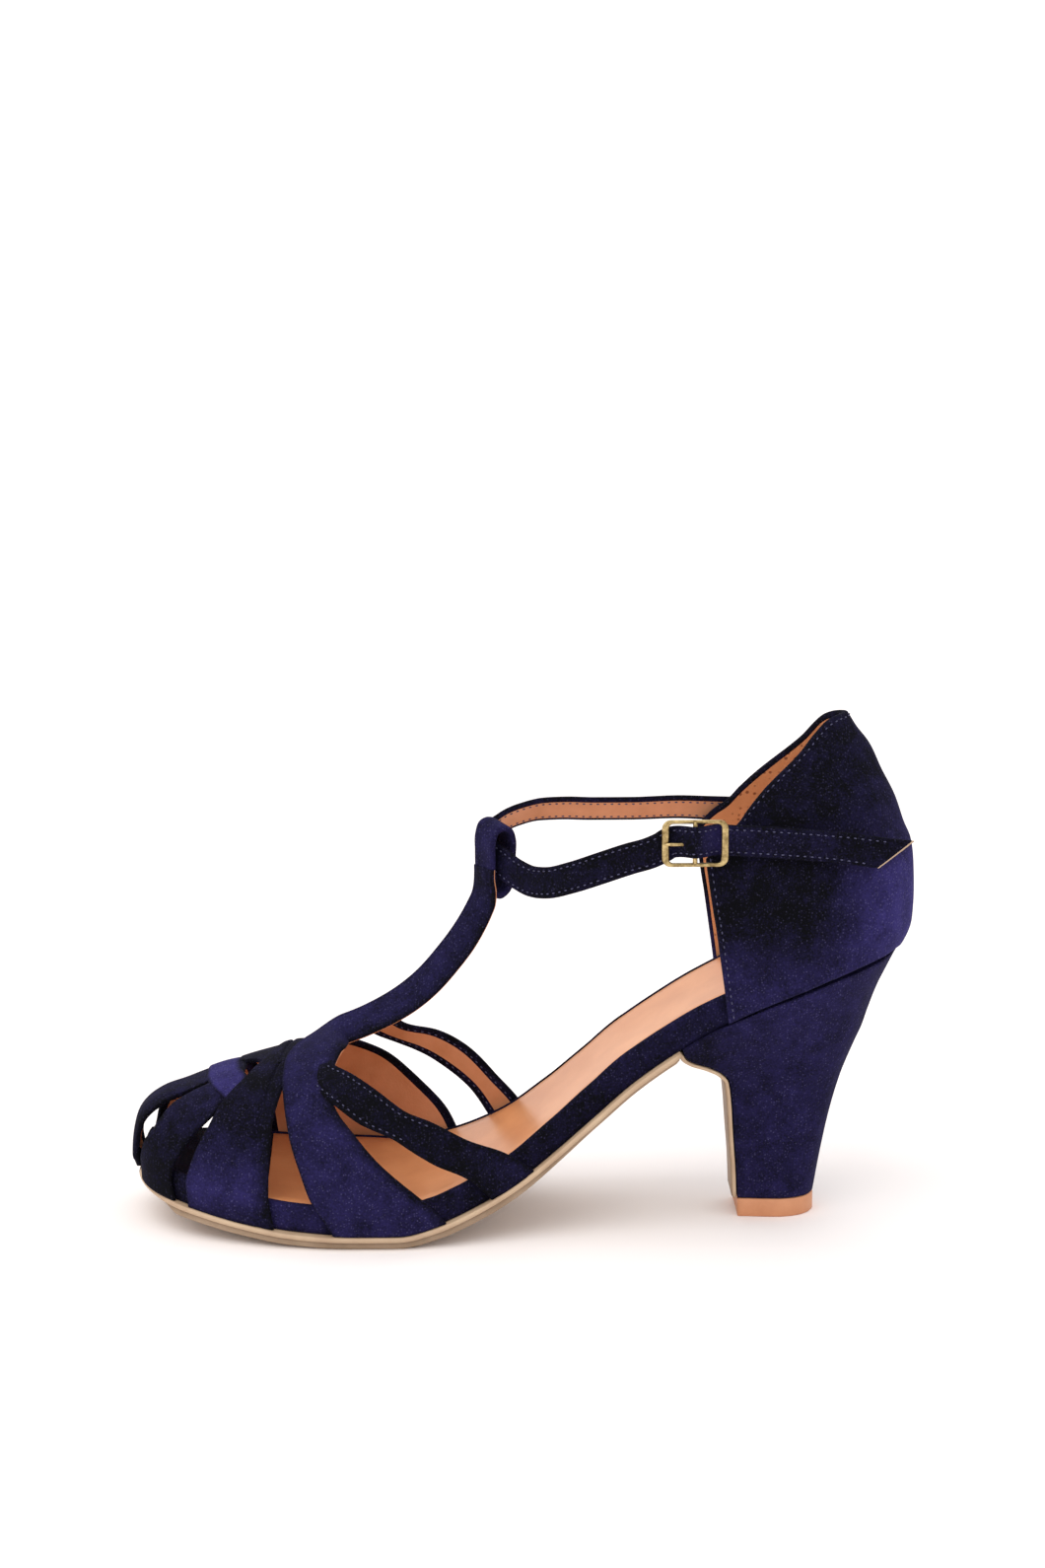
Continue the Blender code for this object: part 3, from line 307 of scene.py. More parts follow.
def wallShell(name, grid, outward, sizes, materials, paintedLight=0.4, roundEnds=(False, False)):
    # a rounded wall over a grid: velvet outside and round both edges, lining inside from the turned margin on
    shell = measure(grid, outward)
    radius = sizes["thickness"] / 2
    width = shell["width"][:, None]
    margin = np.minimum(sizes["margin"], 0.4 * width) * np.ones(sizes["columns"] // 2)
    inside = np.concatenate([[0], np.linspace(0, 1, sizes["columns"] // 2), [1]])
    rim = np.full((len(grid), 1), radius)
    insideEdge = np.hstack([rim, margin, rim])
    outside = np.linspace(1, 0, sizes["columns"])
    arc = np.linspace(0, math.pi, 9)[1:-1]
    distances = np.hstack([
        insideEdge + inside * (width - 2 * insideEdge), width - radius + radius * np.sin(arc),
        radius + outside * (width - 2 * radius), np.tile(radius - radius * np.sin(arc), (len(grid), 1))])
    crown = sizes.get("crown", 0) * (1 - (2 * outside - 1) ** 2)
    heights = np.concatenate([
        0 * inside, radius - radius * np.cos(arc), 2 * radius + crown, radius + radius * np.cos(arc)])
    heights = np.tile(heights, (len(grid), 1))
    for fromRear, gap, depth, spread in sizes.get("grooves", []):
        away = (width - distances if fromRear else distances) - gap
        outer = heights > radius
        heights -= outer * depth * np.exp(-(away / spread) ** 2)
    middle = grid[:, grid.shape[1] // 2]
    run = np.concatenate([[0], np.cumsum(np.linalg.norm(np.diff(middle, axis=0), axis=1))])
    for rounded, gap in zip(roundEnds, (run, run[-1] - run)):
        if rounded:
            near = 1 - np.clip(gap / radius, 0, 1)
            scale = np.sqrt(np.clip(1 - near ** 2, 0.03, 1))[:, None]
            heights = radius + (heights - radius) * scale
    bareTo = len(inside) - 2 + sizes.get("bareRim", 0)
    slots = [1 if 1 <= i < bareTo else 0 for i in range(distances.shape[1])]
    made = ringMesh(name, pointsOver(shell, distances, heights), materials, slots)
    if roundEnds != (False, False):
        keep = sizes.get("endMargin", 0)
        count = distances.shape[1]
        for face in made.data.polygons:
            row = face.vertices[0] // count
            if (roundEnds[0] and run[row] < keep) or (roundEnds[1] and run[-1] - run[row] < keep):
                face.material_index = 0
    # painted shade: the painted light fades to nothing across the given border at each edge
    front, rear = sizes.get("dark", (0.0004, 0.0004))
    shade = np.clip(distances / front, 0, 1) * np.clip((width - distances) / rear, 0, 1)
    paintLightAndShade(made, paintedLight, shade.ravel())
    return made, shell


def edgeRow(shell, distance, height, fromRear=False, rows=slice(None)):  # line at a distance from one edge
    gap = (shell["width"] - distance) if fromRear else np.full(len(shell["grid"]), distance)
    return pointsOver(shell, gap[:, None], np.full((len(gap), 1), height))[rows, 0]


def paintedLightTable(axis, table):  # painted light and shade read along one axis of the row frame
    xs, ys = zip(*table)
    return lambda points: np.interp(points[:, axis], xs, ys)


# Materials

# the two velvet colours that the painted light and shade mix between
velvetSizes = {"pileGrain": 0.0006, "crush": 0.006, "speck": 0.00075, "pileDepth": 0.0004, "sheen": "#4a4680",
               "shadedPile": "#06060a", "litPile": "#332d66", "speckColour": "#7a76a6"}


def makeVelvet():  # silk pile: near black where the painted shade is, violet where the painted light is, light flecks that grow with the painted light
    v = velvetSizes
    made, tree, surface = newMaterial("silkPileVelvet", Roughness=0.9, Sheen_Weight=0.12, Sheen_Roughness=0.4,
                                      Sheen_Tint=hexColour(v["sheen"]), Specular_IOR_Level=0.08)
    place = addNode(tree, "ShaderNodeTexCoord").outputs["Object"]
    paintedLight = addNode(tree, "ShaderNodeAttribute", {"attribute_name": "paintedLight"}).outputs["Fac"]
    # the pile is drawn about twice as coarse as it is, or it would not show at the size of the picture
    grain = noiseNode(tree, place, v["pileGrain"], 2.0, 0.65)
    crushed = rangeNode(tree, noiseNode(tree, place, v["crush"], 4.0, 0.6), 0.35, 0.68, -0.20, 0.26)
    grained = rangeNode(tree, grain, 0.32, 0.68, -0.22, 0.30)
    # the crushed mottling, the grain and the flecks are all made stronger where the painted light is
    amount = mathNode(tree, "MULTIPLY_ADD", paintedLight, 0.8, 0.3)
    share = mathNode(tree, "MULTIPLY_ADD", crushed, amount, paintedLight)
    share = mathNode(tree, "MULTIPLY_ADD", grained, amount, share, clamp=True)
    pile = mixNode(tree, share, hexColour(v["shadedPile"]), hexColour(v["litPile"]))
    flecks = addNode(tree, "ShaderNodeTexVoronoi", None, {"Vector": place, "Scale": 1 / v["speck"]})
    small = rangeNode(tree, flecks.outputs["Distance"], 0.12, 0.38, 1.0, 0.0)
    tone = addNode(tree, "ShaderNodeSeparateColor", None, {0: flecks.outputs["Color"]}).outputs[0]
    fleck = mathNode(tree, "MULTIPLY", small, rangeNode(tree, tone, 0.2, 1.0, 0.0, 0.46))
    fleck = mathNode(tree, "MULTIPLY", fleck, amount)
    tint = mixNode(tree, fleck, pile, hexColour(v["speckColour"]))
    finishMaterial(tree, surface, tint, grain, 0.5, v["pileDepth"])
    return made


def makeLeather(name, light, dark, roughness, grainSize, pinholes=0.0, coat=0.0, patch=0.02):
    # vegetable-tanned lining or sole leather: warm, softly blotched, fine pores
    made, tree, surface = newMaterial(name, Roughness=roughness, Coat_Weight=coat, Coat_Roughness=0.22)
    place = addNode(tree, "ShaderNodeTexCoord").outputs["Object"]
    height = noiseNode(tree, place, grainSize)
    share = rangeNode(tree, noiseNode(tree, place, patch, 6.0, 0.6), 0.32, 0.68)
    tint = mixNode(tree, share, hexColour(dark), hexColour(light))
    if pinholes:
        dots = addNode(tree, "ShaderNodeTexVoronoi", None, {
            "Vector": place, "Scale": 1 / pinholes, "Randomness": 0.35}).outputs["Distance"]
        hole = rangeNode(tree, dots, 0.16, 0.30)
        tint = mixNode(tree, hole, hexColour("#8a5230"), tint)
        height = mathNode(tree, "MULTIPLY_ADD", hole, 1.5, height)
    finishMaterial(tree, surface, tint, height, 0.35, 0.0002)
    return made


def makeBrass():  # cast brass with an antique finish: soft highlights, brown in the low places
    made, tree, surface = newMaterial("antiqueCastBrass", Metallic=1.0)
    place = addNode(tree, "ShaderNodeTexCoord").outputs["Object"]
    wear = noiseNode(tree, place, 1 / 420, 5.0, 0.65)
    tint = mixNode(tree, rangeNode(tree, wear, 0.35, 0.62), hexColour("#75603a"), hexColour("#cdb682"))
    tree.links.new(rangeNode(tree, wear, 0.3, 0.7, 0.48, 0.28), surface.inputs["Roughness"])
    finishMaterial(tree, surface, tint, wear, 0.2, 0.0001)
    return made


def makeThread():  # waxed polyester thread, a little lighter than the velvet round it
    made, tree, surface = newMaterial("navySewingThread", Roughness=0.5)
    place = addNode(tree, "ShaderNodeTexCoord").outputs["Object"]
    twist = noiseNode(tree, place, 1 / 1500)
    tint = mixNode(tree, twist, hexColour("#1c1c32"), hexColour("#4e4d72"))
    tree.links.new(tint, surface.inputs["Base Color"])
    return made


velvet = makeVelvet()
lining = makeLeather("tanLiningLeather", "#e0a078", "#c6855a", 0.55, 0.0006)
quarterLining = makeLeather("perforatedTanLining", "#d8996a", "#c58555", 0.6, 0.0006, pinholes=0.0022)
sockLeather = makeLeather("glazedTanSock", "#e5a06b", "#d28b5b", 0.36, 0.0008, coat=0.15)
soleLeather = makeLeather("vegetableTannedSole", "#a89078", "#927a62", 0.6, 0.0010, patch=0.012)
flangeLeather = makeLeather("trimmedSoleEdge", "#c7ad8e", "#b3967a", 0.5, 0.0008, patch=0.012)
tipRubber = makeLeather("tanTopLiftRubber", "#cf9068", "#c2825a", 0.55, 0.0009, patch=0.01)
brass = makeBrass()
thread = makeThread()
print("materials made")


# Vamp bands, nose to instep, each lying over the one before it

bandSizes = {
    "thickness": 0.0014, "margin": 0.0026, "columns": 34, "crown": 0.00025, "rows": 96,
    "strapWall": 0.95, "strapColumns": 22, "stitchIn": 0.0018, "stitchOver": 0.00005, "sewnRows": (36, 84),
    "featherFade": 35, "tuckShare": 0.85,  # degrees over which a lift grows, share that a tucked end loses
    "hem": (True, 0.0042, 0.00055, 0.0005),  # the lateral middle band's, folded under along its rear
    # degrees round the last, front edge and rear edge along the foot
    "noseBand": [
        (-90, 0.0002, 0.0009), (-60, 0.0002, 0.0012), (-40, 0.0002, 0.0030), (-33, 0.0002, 0.0056),
        (-25, 0.0002, 0.0121), (-21, 0.0002, 0.0211), (-16, 0.0002, 0.0380), (-11, 0.0002, 0.0610),
        (-9.5, 0.0002, 0.0850), (-6, 0.0002, 0.1040), (3, 0.0002, 0.1100), (12, 0.0002, 0.1060),
        (18, 0.0002, 0.0920), (22, 0.0002, 0.0650), (25, 0.0002, 0.0400), (28, 0.0002, 0.0220),
        (32, 0.0002, 0.0105), (38, 0.0002, 0.0062), (50, 0.0002, 0.0045), (70, 0.0002, 0.0045),
        (90, 0.0002, 0.0050)],
    "medialToeBand": [
        (4, 0.1130, 0.1430), (14, 0.1060, 0.1400), (23, 0.0880, 0.1340), (28, 0.0680, 0.1290),
        (33, 0.0500, 0.1220), (40, 0.0345, 0.1100), (50, 0.0240, 0.0930), (64, 0.0195, 0.0780),
        (76, 0.0155, 0.0680), (90, 0.0130, 0.0580)],
    "lateralToeBand": [
        (-90, 0.0078, 0.0520), (-82, 0.0082, 0.0475), (-73, 0.0088, 0.0502), (-63, 0.0118, 0.0610),
        (-54, 0.0163, 0.0722), (-44, 0.0265, 0.0915), (-36, 0.0345, 0.1090), (-28, 0.0420, 0.1210),
        (-22, 0.0500, 0.1290), (-16, 0.0680, 0.1350), (-12.5, 0.0900, 0.1380), (-6, 0.1060, 0.1410),
        (6, 0.1180, 0.1450)],
    "medialMiddleBand": [
        (-34, 0.1240, 0.1500), (-21, 0.1050, 0.1480), (-12, 0.0965, 0.1440), (-4, 0.0930, 0.1370),
        (4, 0.0920, 0.1350), (16, 0.0935, 0.1375), (28, 0.0955, 0.1430), (40, 0.0975, 0.1490),
        (52, 0.0990, 0.1540), (64, 0.0980, 0.1580), (76, 0.0930, 0.1600), (90, 0.0880, 0.1640)],
    "lateralMiddleBand": [
        (-90, 0.0700, 0.1825), (-80, 0.0685, 0.1756), (-69, 0.0755, 0.1764), (-58, 0.0860, 0.1785),
        (-48, 0.0982, 0.1810), (-37, 0.1105, 0.1880), (-28, 0.1245, 0.1950), (-19, 0.1430, 0.2010),
        (-10, 0.1590, 0.2090), (2, 0.1800, 0.2160), (12, 0.1930, 0.2240)],
    "medialRearBand": [
        (-12, 0.1760, 0.2340), (-5, 0.1650, 0.2340), (-1, 0.1560, 0.2340), (1, 0.1420, 0.2342),
        (8, 0.1340, 0.2358), (20, 0.1340, 0.2430), (34, 0.1400, 0.2630), (46, 0.1480, 0.2970),
        (57, 0.1550, 0.3360), (70, 0.1610, 0.3770), (80, 0.1650, 0.4100), (90, 0.1700, 0.4330)],
    "lateralSideStrap": [
        (-90, 0.464, 0.520), (-83, 0.431, 0.482), (-75, 0.386, 0.434), (-65, 0.341, 0.389),
        (-56, 0.293, 0.349), (-46, 0.262, 0.316), (-36, 0.237, 0.287), (-27, 0.216, 0.264),
        (-24, 0.215, 0.262)],
    "medialSideStrap": [
        (-1, 0.241, 0.275), (10, 0.253, 0.290), (28, 0.282, 0.322), (44, 0.313, 0.352),
        (57, 0.363, 0.402), (68, 0.405, 0.443), (78, 0.443, 0.478), (84, 0.462, 0.502),
        (90, 0.481, 0.524)],
    # how far each band's front and rear edges stand off the last, in walls
    "lifts": {"noseBand": (1.1, 0.6), "medialToeBand": (0.3, 0.1), "lateralToeBand": (0.9, 0.45),
              "medialMiddleBand": (1.1, 0.4), "lateralMiddleBand": (1.2, 0.35), "medialRearBand": (0.65, 0.3),
              "lateralSideStrap": (0.45, 0.45), "medialSideStrap": (0.45, 0.45)},
    "tuckFrom": {"lateralToeBand": -15},  # degrees from which the end lies flat under the next band
    # painted shade: borders at the front and rear edge where the velvet is darkened towards black
    "shadedEdges": {"noseBand": (0.002, 0.002), "medialToeBand": (0.002, 0.002),
                  "lateralToeBand": (0.002, 0.003), "medialMiddleBand": (0.0012, 0.002),
                  "lateralMiddleBand": (0.0008, 0.0048), "medialRearBand": (0.002, 0.002),
                  "lateralSideStrap": (0.002, 0.002), "medialSideStrap": (0.002, 0.002)},
}


def bandGrid(table, liftFront, liftRear, rowCount, columnCount, tuckFrom=180):
    keyed = [(i, *row) for i, row in enumerate(table)]
    places = np.linspace(0, len(table) - 1, rowCount)
    degrees = curveThrough(keyed, 1, places)
    front, rear = turn(curveThrough(keyed, 2, places)), turn(curveThrough(keyed, 3, places))
    step = np.linspace(0, 1, columnCount)
    shares = (1 - np.cos(front[:, None] + (rear - front)[:, None] * step)) / 2
    angles = np.broadcast_to(degrees[:, None], shares.shape)
    grid = lastPoint(along(shares), angles)
    normals = -unit(np.cross(np.gradient(grid, axis=0), np.gradient(grid, axis=1)))
    tucked = bandSizes["tuckShare"] * np.clip((angles - tuckFrom) / 10, 0, 1)
    fade = np.clip((90 - np.abs(angles)) / bandSizes["featherFade"], 0, 1) * (1 - tucked)
    return grid + normals * (fade * (liftFront * (1 - step) + liftRear * step))[..., None]


stitchLines = []
# painted light and shade on each band: lighter or darker by height or along the foot
bandPaintedLight = {
    "noseBand": paintedLightTable(2, [(0.005, 0.0), (0.03, 0.03), (0.036, 0.08), (0.045, 0.12)]),
    "medialToeBand": paintedLightTable(2, [(0.005, 0.05), (0.03, 0.03), (0.045, 0.08)]),
    "lateralToeBand": paintedLightTable(2, [(0.005, 0.0), (0.02, 0.0), (0.03, 0.06), (0.04, 0.15)]),
    "medialMiddleBand": paintedLightTable(2, [(0.01, 0.12), (0.03, 0.12), (0.037, 0.5), (0.045, 0.8)]),
    "lateralMiddleBand": paintedLightTable(2, [(0.006, 0.12), (0.009, 0.19), (0.012, 0.35), (0.015, 0.45),
                                      (0.019, 0.38), (0.024, 0.21), (0.032, 0.1), (0.038, 0.03)]),
    "medialRearBand": paintedLightTable(2, [(0.005, 0.12), (0.035, 0.05), (0.05, 0.01)]),
    "lateralSideStrap": paintedLightTable(0, [(-0.12, 0.0), (-0.095, 0.01), (-0.08, 0.1), (-0.07, 0.16)]),
    "medialSideStrap": paintedLightTable(0, [(-0.13, 0.1), (-0.09, 0.08), (-0.07, 0.12)]),
}
for name, paintedLight in bandPaintedLight.items():
    strap = name.endswith("Strap")
    wall = bandSizes["thickness"]
    front, rear = bandSizes["lifts"][name]
    grid = bandGrid(bandSizes[name], front * wall, rear * wall, bandSizes["rows"], 48,
                    bandSizes["tuckFrom"].get(name, 180))
    sizes = dict(bandSizes, dark=bandSizes["shadedEdges"][name])
    if strap:
        sizes.update(thickness=wall * sizes["strapWall"], columns=sizes["strapColumns"], grooves=[
            (fromRear, sizes["stitchIn"], 0.00025, 0.0005) for fromRear in (False, True)])
    if name == "lateralMiddleBand":
        sizes["grooves"] = [sizes["hem"]]
    band, shell = wallShell(name, grid, -1, sizes, [velvet, lining], paintedLight)
    finishPiece(band, "vamp_velvet", "vamp")
    if strap:  # the pile hides the lateral strap's stitches further down
        sewn = slice(*sizes["sewnRows"]) if name == "lateralSideStrap" else slice(None)
        over = sizes["stitchOver"]
        for fromRear in (False, True):
            stitchLines.append(edgeRow(shell, sizes["stitchIn"], sizes["thickness"] + over, fromRear, sewn))
            stitchLines.append(edgeRow(shell, sizes["stitchIn"], -over, fromRear))
print("vamp bands made")


# Lateral petal that runs up into the T-strap

strapSizes = {
    "width": 0.0118, "ankleSpan": 0.054, "ankleHeight": 0.1164, "ankleWidth": 0.0091,
    "ankleThickness": 0.0015, "tailSlant": 0.0092,
    "petalLift": 1.3, "riseCrown": 0.0005,
    "loopHeight": 0.0215, "loopWall": 0.0017, "loopTilt": 0.15, "loopTop": 0.0002,
    # front edge (along, degrees), rear edge (along, degrees)
    "petal": [
        (0.258, -90, 0.405, -90), (0.230, -80, 0.361, -80), (0.217, -70, 0.317, -70),
        (0.206, -59, 0.286, -59), (0.200, -48, 0.264, -48), (0.1965, -38, 0.255, -38),
        (0.195, -28, 0.260, -29), (0.1975, -14, 0.264, -25), (0.209, -3, 0.268, -22),
        (0.234, 5, 0.272, -19.5)],
    # along, height (share of the ankle strap's), side (share of the width), twist, width
    "rise": [
        (0.266, 0.498, 0.59, 28, 1.05), (0.292, 0.520, 0.50, 30, 1.02), (0.320, 0.548, 0.46, 33, 1.00),
        (0.345, 0.579, 0.44, 35, 1.00), (0.370, 0.620, 0.42, 37, 0.99), (0.397, 0.680, 0.40, 39, 0.97),
        (0.417, 0.732, 0.38, 40, 0.95), (0.434, 0.788, 0.36, 40, 0.91), (0.443, 0.828, 0.36, 38, 0.88),
        (0.445, 0.861, 0.36, 31, 0.84), (0.445, 0.889, 0.36, 31, 0.84)],
    # loop's wall, inwards and up (shares of its height)
    "loop": [
        (0.050, 0.10), (0.046, 0.32), (0.043, 0.55), (0.050, 0.80), (0.105, 0.93), (0.205, 0.965),
        (0.320, 0.925), (0.364, 0.82), (0.366, 0.57), (0.355, 0.32), (0.270, 0.10), (0.150, 0.04)],
    # ankle strap from its medial end: along, side (share of the span), height (share), inward lean
    "ankle": [
        (0.805, 0.455, 0.990, 28), (0.765, 0.462, 0.993, 31), (0.720, 0.466, 0.996, 33),
        (0.660, 0.462, 0.993, 34), (0.605, 0.440, 0.995, 34), (0.569, 0.407, 1.000, 34),
        (0.537, 0.362, 1.002, 34), (0.506, 0.308, 0.993, 32), (0.4785, 0.246, 0.973, 26),
        (0.461, 0.172, 0.944, 17), (0.462, 0.102, 0.925, 9), (0.472, 0.037, 0.913, 6),
        (0.485, -0.035, 0.900, 5), (0.501, -0.117, 0.884, 5), (0.521, -0.208, 0.874, 8),
        (0.540, -0.296, 0.880, 10), (0.570, -0.376, 0.901, 10), (0.605, -0.437, 0.929, 8),
        (0.645, -0.472, 0.958, 5), (0.668, -0.480, 0.971, 3)],
    "tail": [
        (0.800, -0.484, 1.001, 0), (0.855, -0.486, 0.994, 0), (0.915, -0.492, 0.985, 0),
        (0.970, -0.502, 0.972, 0), (0.989, -0.506, 0.968, 0)],
}
# dark: the widths of the painted shade along the petal's front and rear edges
tSizes = {"thickness": 0.0016, "margin": 0.0020, "columns": 34, "crown": 0.0001,
          "dark": (0.0010, 0.0036), "bareRim": 5,  # its rear edge is cut and shows the lining
          "grooves": [(False, 0.0017, 0.00015, 0.0005), (True, 0.0017, 0.00015, 0.0005)]}
buckleSizes = {
    "along": 0.7286, "side": -0.0280, "length": 0.019, "height": 0.0136, "sideBar": 0.0020,
    "topBar": 0.0011, "depth": 0.0012, "centreBar": 0.0014, "prong": 0.0010,
    "tabReach": 0.024, "tabInner": 3.6, "tabWidth": 0.0082, "tabThickness": 0.0008, "tabMargin": 0.0006,
    "corner": 0.19,  # the frame's corner, as a share of its height
    # the strap where it is woven through: its way behind a bar (share of its wall), and its heights
    # (shares) before, behind, over and after the bars
    "behind": 0.62, "woven": (0.987, 0.999, 1.007, 1.006, 1.004),
}


def smoothPath(table, count):  # a table's rows read as one smooth path, evenly spaced
    rows = np.array(table, float)
    gaps = np.concatenate([[0], np.cumsum(np.linalg.norm(np.diff(rows[:, :3], axis=0), axis=1))])
    keyed = [(gap, *row) for gap, row in zip(gaps, rows)]
    dense = np.column_stack([curveThrough(keyed, column + 1, np.linspace(0, gaps[-1], count * 6))
                             for column in range(rows.shape[1])])
    lengths = np.concatenate([[0], np.cumsum(np.linalg.norm(np.diff(dense[:, :3], axis=0), axis=1))])
    places = np.linspace(0, lengths[-1], count)
    return np.column_stack([np.interp(places, lengths, dense[:, i]) for i in range(dense.shape[1])])


def riseFrames(count):
    rows = [(r[0] * insoleLength, r[1] * strapSizes["ankleHeight"], 0, *r[2:]) for r in strapSizes["rise"]]
    table = smoothPath(rows, count)
    edges = np.column_stack([toeX + table[:, 0], table[:, 3] * strapSizes["width"], table[:, 1]])
    tangents = np.gradient(edges, axis=0)
    rises = np.arctan2(tangents[:, 2], tangents[:, 0])
    front = np.column_stack([-np.sin(rises), 0 * rises, np.cos(rises)])
    lateral = np.array([0.0, -1.0, 0.0])
    angles = np.radians(table[:, 4])[:, None]
    across = lateral * np.cos(angles) - front * np.sin(angles)
    outwards = front * np.cos(angles) + lateral * np.sin(angles)
    return edges, across, outwards, table[:, 5] * strapSizes["width"]


def petalGrid():
    step = np.linspace(0, 1, 9)
    keyed = [(i, *row) for i, row in enumerate(strapSizes["petal"])]
    places = np.linspace(0, len(keyed) - 1, 28)
    ends = [curveThrough(keyed, column, places)[:, None] for column in (1, 2, 3, 4)]
    shares = ends[0] + (ends[2] - ends[0]) * step
    degrees = ends[1] + (ends[3] - ends[1]) * step
    low = lastPoint(along(shares), degrees)
    normals = -unit(np.cross(np.gradient(low, axis=0), np.gradient(low, axis=1)))
    fade = np.clip((90 - np.abs(ends[1])) / bandSizes["featherFade"], 0, 1)
    low = low + normals * (strapSizes["petalLift"] * bandSizes["thickness"] * fade * (1 - step))[..., None]
    edges, across, outwards, widths = riseFrames(24)
    crown = strapSizes["riseCrown"] * (1 - (2 * step - 1) ** 2)
    high = (edges[:, None] + across[:, None] * (widths[:, None] * step)[..., None]
            + outwards[:, None] * (crown - tSizes["thickness"])[None, :, None])
    return refine(np.concatenate([low, high]), 220, 40)


# painted light and shade on the petal and T-strap, darker towards the top
def petalPaintedLight(points):
    return np.interp(points[:, 2], [0.004, 0.02, 0.045, 0.06, 0.08, 0.1], [0.28, 0.32, 0.26, 0.25, 0.2, 0.1])


tStrap = wallShell("petalAndTStrap", petalGrid(), -1, tSizes, [velvet, lining], petalPaintedLight)[0]
finishPiece(tStrap, "vamp_velvet", "vamp")


def strapLoop():  # the T-strap's end, folded back round the ankle strap
    edges, across, outwards, widths = riseFrames(21)
    edge, over, outward, width = edges[-1], across[-1], outwards[-1], widths[-1]
    middle = edge + over * width / 2
    base = np.array([middle[0], middle[1],
                     strapSizes["ankleHeight"] + strapSizes["loopTop"] - strapSizes["loopHeight"]])
    inward = unit(np.array([-outward[0], -outward[1], 0]))
    side = np.array([inward[1], -inward[0], 0])
    path = np.array(strapSizes["loop"] + strapSizes["loop"][:1]) * strapSizes["loopHeight"]
    path = smoothAlong(np.column_stack([path, 0 * path[:, 0]]), np.linspace(0, 1, 97))[:-1, :2]
    tangents = unit(np.roll(path, -1, axis=0) - np.roll(path, 1, axis=0))
    normals = np.column_stack([tangents[:, 1], -tangents[:, 0]])
    halfWall, halfWidth = strapSizes["loopWall"] / 2, width / 2
    flat = halfWidth - halfWall
    section = []
    for sign in (1, -1):
        section += [(share * flat, sign * halfWall) for share in np.linspace(-1, 1, 9) * sign]
        section += [(sign * (flat + halfWall * math.sin(angle)), sign * halfWall * math.cos(angle))
                    for angle in np.linspace(0, math.pi, 7)[1:-1]]
    rings = []
    for point, normal in zip(path, normals):
        ring = []
        for away, out in section:
            spot = point + normal * out
            ring.append(base + inward * spot[0] + side * away
                        + np.array([0, 0, spot[1] - strapSizes["loopTilt"] * away]))
        rings.append(ring)
    made = ringMesh("strapLoop", rings, [velvet], closed=True)
    # painted light and shade on the loop, a little lighter towards its top
    paintLightAndShade(made, paintedLightTable(2, [(0.095, 0.2), (0.108, 0.22), (0.114, 0.26)]))
    return finishPiece(made, "vamp_velvet")


strapLoop()
print("T-strap made")


# Ankle strap, its tab and buckle

def ribbonFrames(path, leans):
    tangents = unit(np.gradient(path, axis=0))
    outward = unit(np.cross(tangents, (0, 0, 1)))
    angles = np.radians(leans)[:, None]
    upward = np.array([0, 0, 1]) * np.cos(angles) - outward * np.sin(angles)
    upward = unit(upward - tangents * (upward * tangents).sum(axis=1)[:, None])
    return tangents, upward, np.cross(tangents, upward)


def anklePath(count):  # woven behind, over and behind the buckle's bars
    def placed(table):
        span, height = strapSizes["ankleSpan"], strapSizes["ankleHeight"]
        return [(along(r[0]), r[1] * span, r[2] * height, r[3]) for r in table]
    b = buckleSizes
    barX = float(along(b["along"]))
    heights = [share * strapSizes["ankleHeight"] for share in b["woven"]]
    behind = b["side"] + b["depth"] / 2 + clearance + b["behind"] * strapSizes["ankleThickness"]
    over = b["centreBar"] / 2 + b["tabThickness"] + 2 * clearance + strapSizes["ankleThickness"] / 2
    far, near = b["length"] / 2 - 0.1 * b["sideBar"], b["length"] / 2 - 1.25 * b["sideBar"]
    rows = placed(strapSizes["ankle"])
    rows += [(barX - far, behind, heights[0], 0), (barX - near, behind, heights[1], 0)]
    for angle in np.radians((-45, -22, 0, 22, 45)):
        rows.append((barX + over * math.sin(angle), b["side"] - over * math.cos(angle), heights[2], 0))
    rows += [(barX + near, behind, heights[3], 0), (barX + far, behind, heights[4], 0)]
    table = smoothPath(rows + placed(strapSizes["tail"]), count)
    return table[:, :3], table[:, 3]


def ribbonGrid(path, leans, width, below, columnCount, slant=0.0):
    tangents, upward, outward = ribbonFrames(path, leans)
    step = np.linspace(-0.5, 0.5, columnCount)
    back = np.arange(len(path))[::-1]
    fade = np.clip(1 - back / (len(path) / 10), 0, 1)
    shift = slant * fade[:, None] * step
    return (path[:, None] + upward[:, None] * (width * step)[None, :, None]
            - outward[:, None] * below + tangents[:, None] * shift[..., None])


ankleSizes = {"thickness": 0.0015, "margin": 0.0013, "columns": 22, "crown": 0.0001,
              "stitchIn": 0.0013, "stitchOver": 0.00003, "unsewnRows": 12,
              "liningStitchIn": 0.0019, "liningStitchOver": 0.00005, "sewnLining": (4, 230),
              "grooves": [(False, 0.0013, 0.0002, 0.0004), (True, 0.0013, 0.0002, 0.0004)]}
path, leans = anklePath(420)
ankleGrid = ribbonGrid(path, leans, strapSizes["ankleWidth"], strapSizes["ankleThickness"] / 2, 24,
                       strapSizes["tailSlant"])


# painted light and shade on the ankle strap: near black on the lateral side with a lighter patch near the
# buckle, even on the medial side
def anklePaintedLight(points):
    side = np.interp(points[:, 0], [-0.08, -0.06, -0.032, -0.024, -0.018, -0.014, 0.0, 0.02, 0.037],
                     [0.06, 0.02, 0.02, 0.08, 0.35, 0.12, 0.1, 0.03, 0.01])
    return np.where(points[:, 1] < 0, side, 0.12)


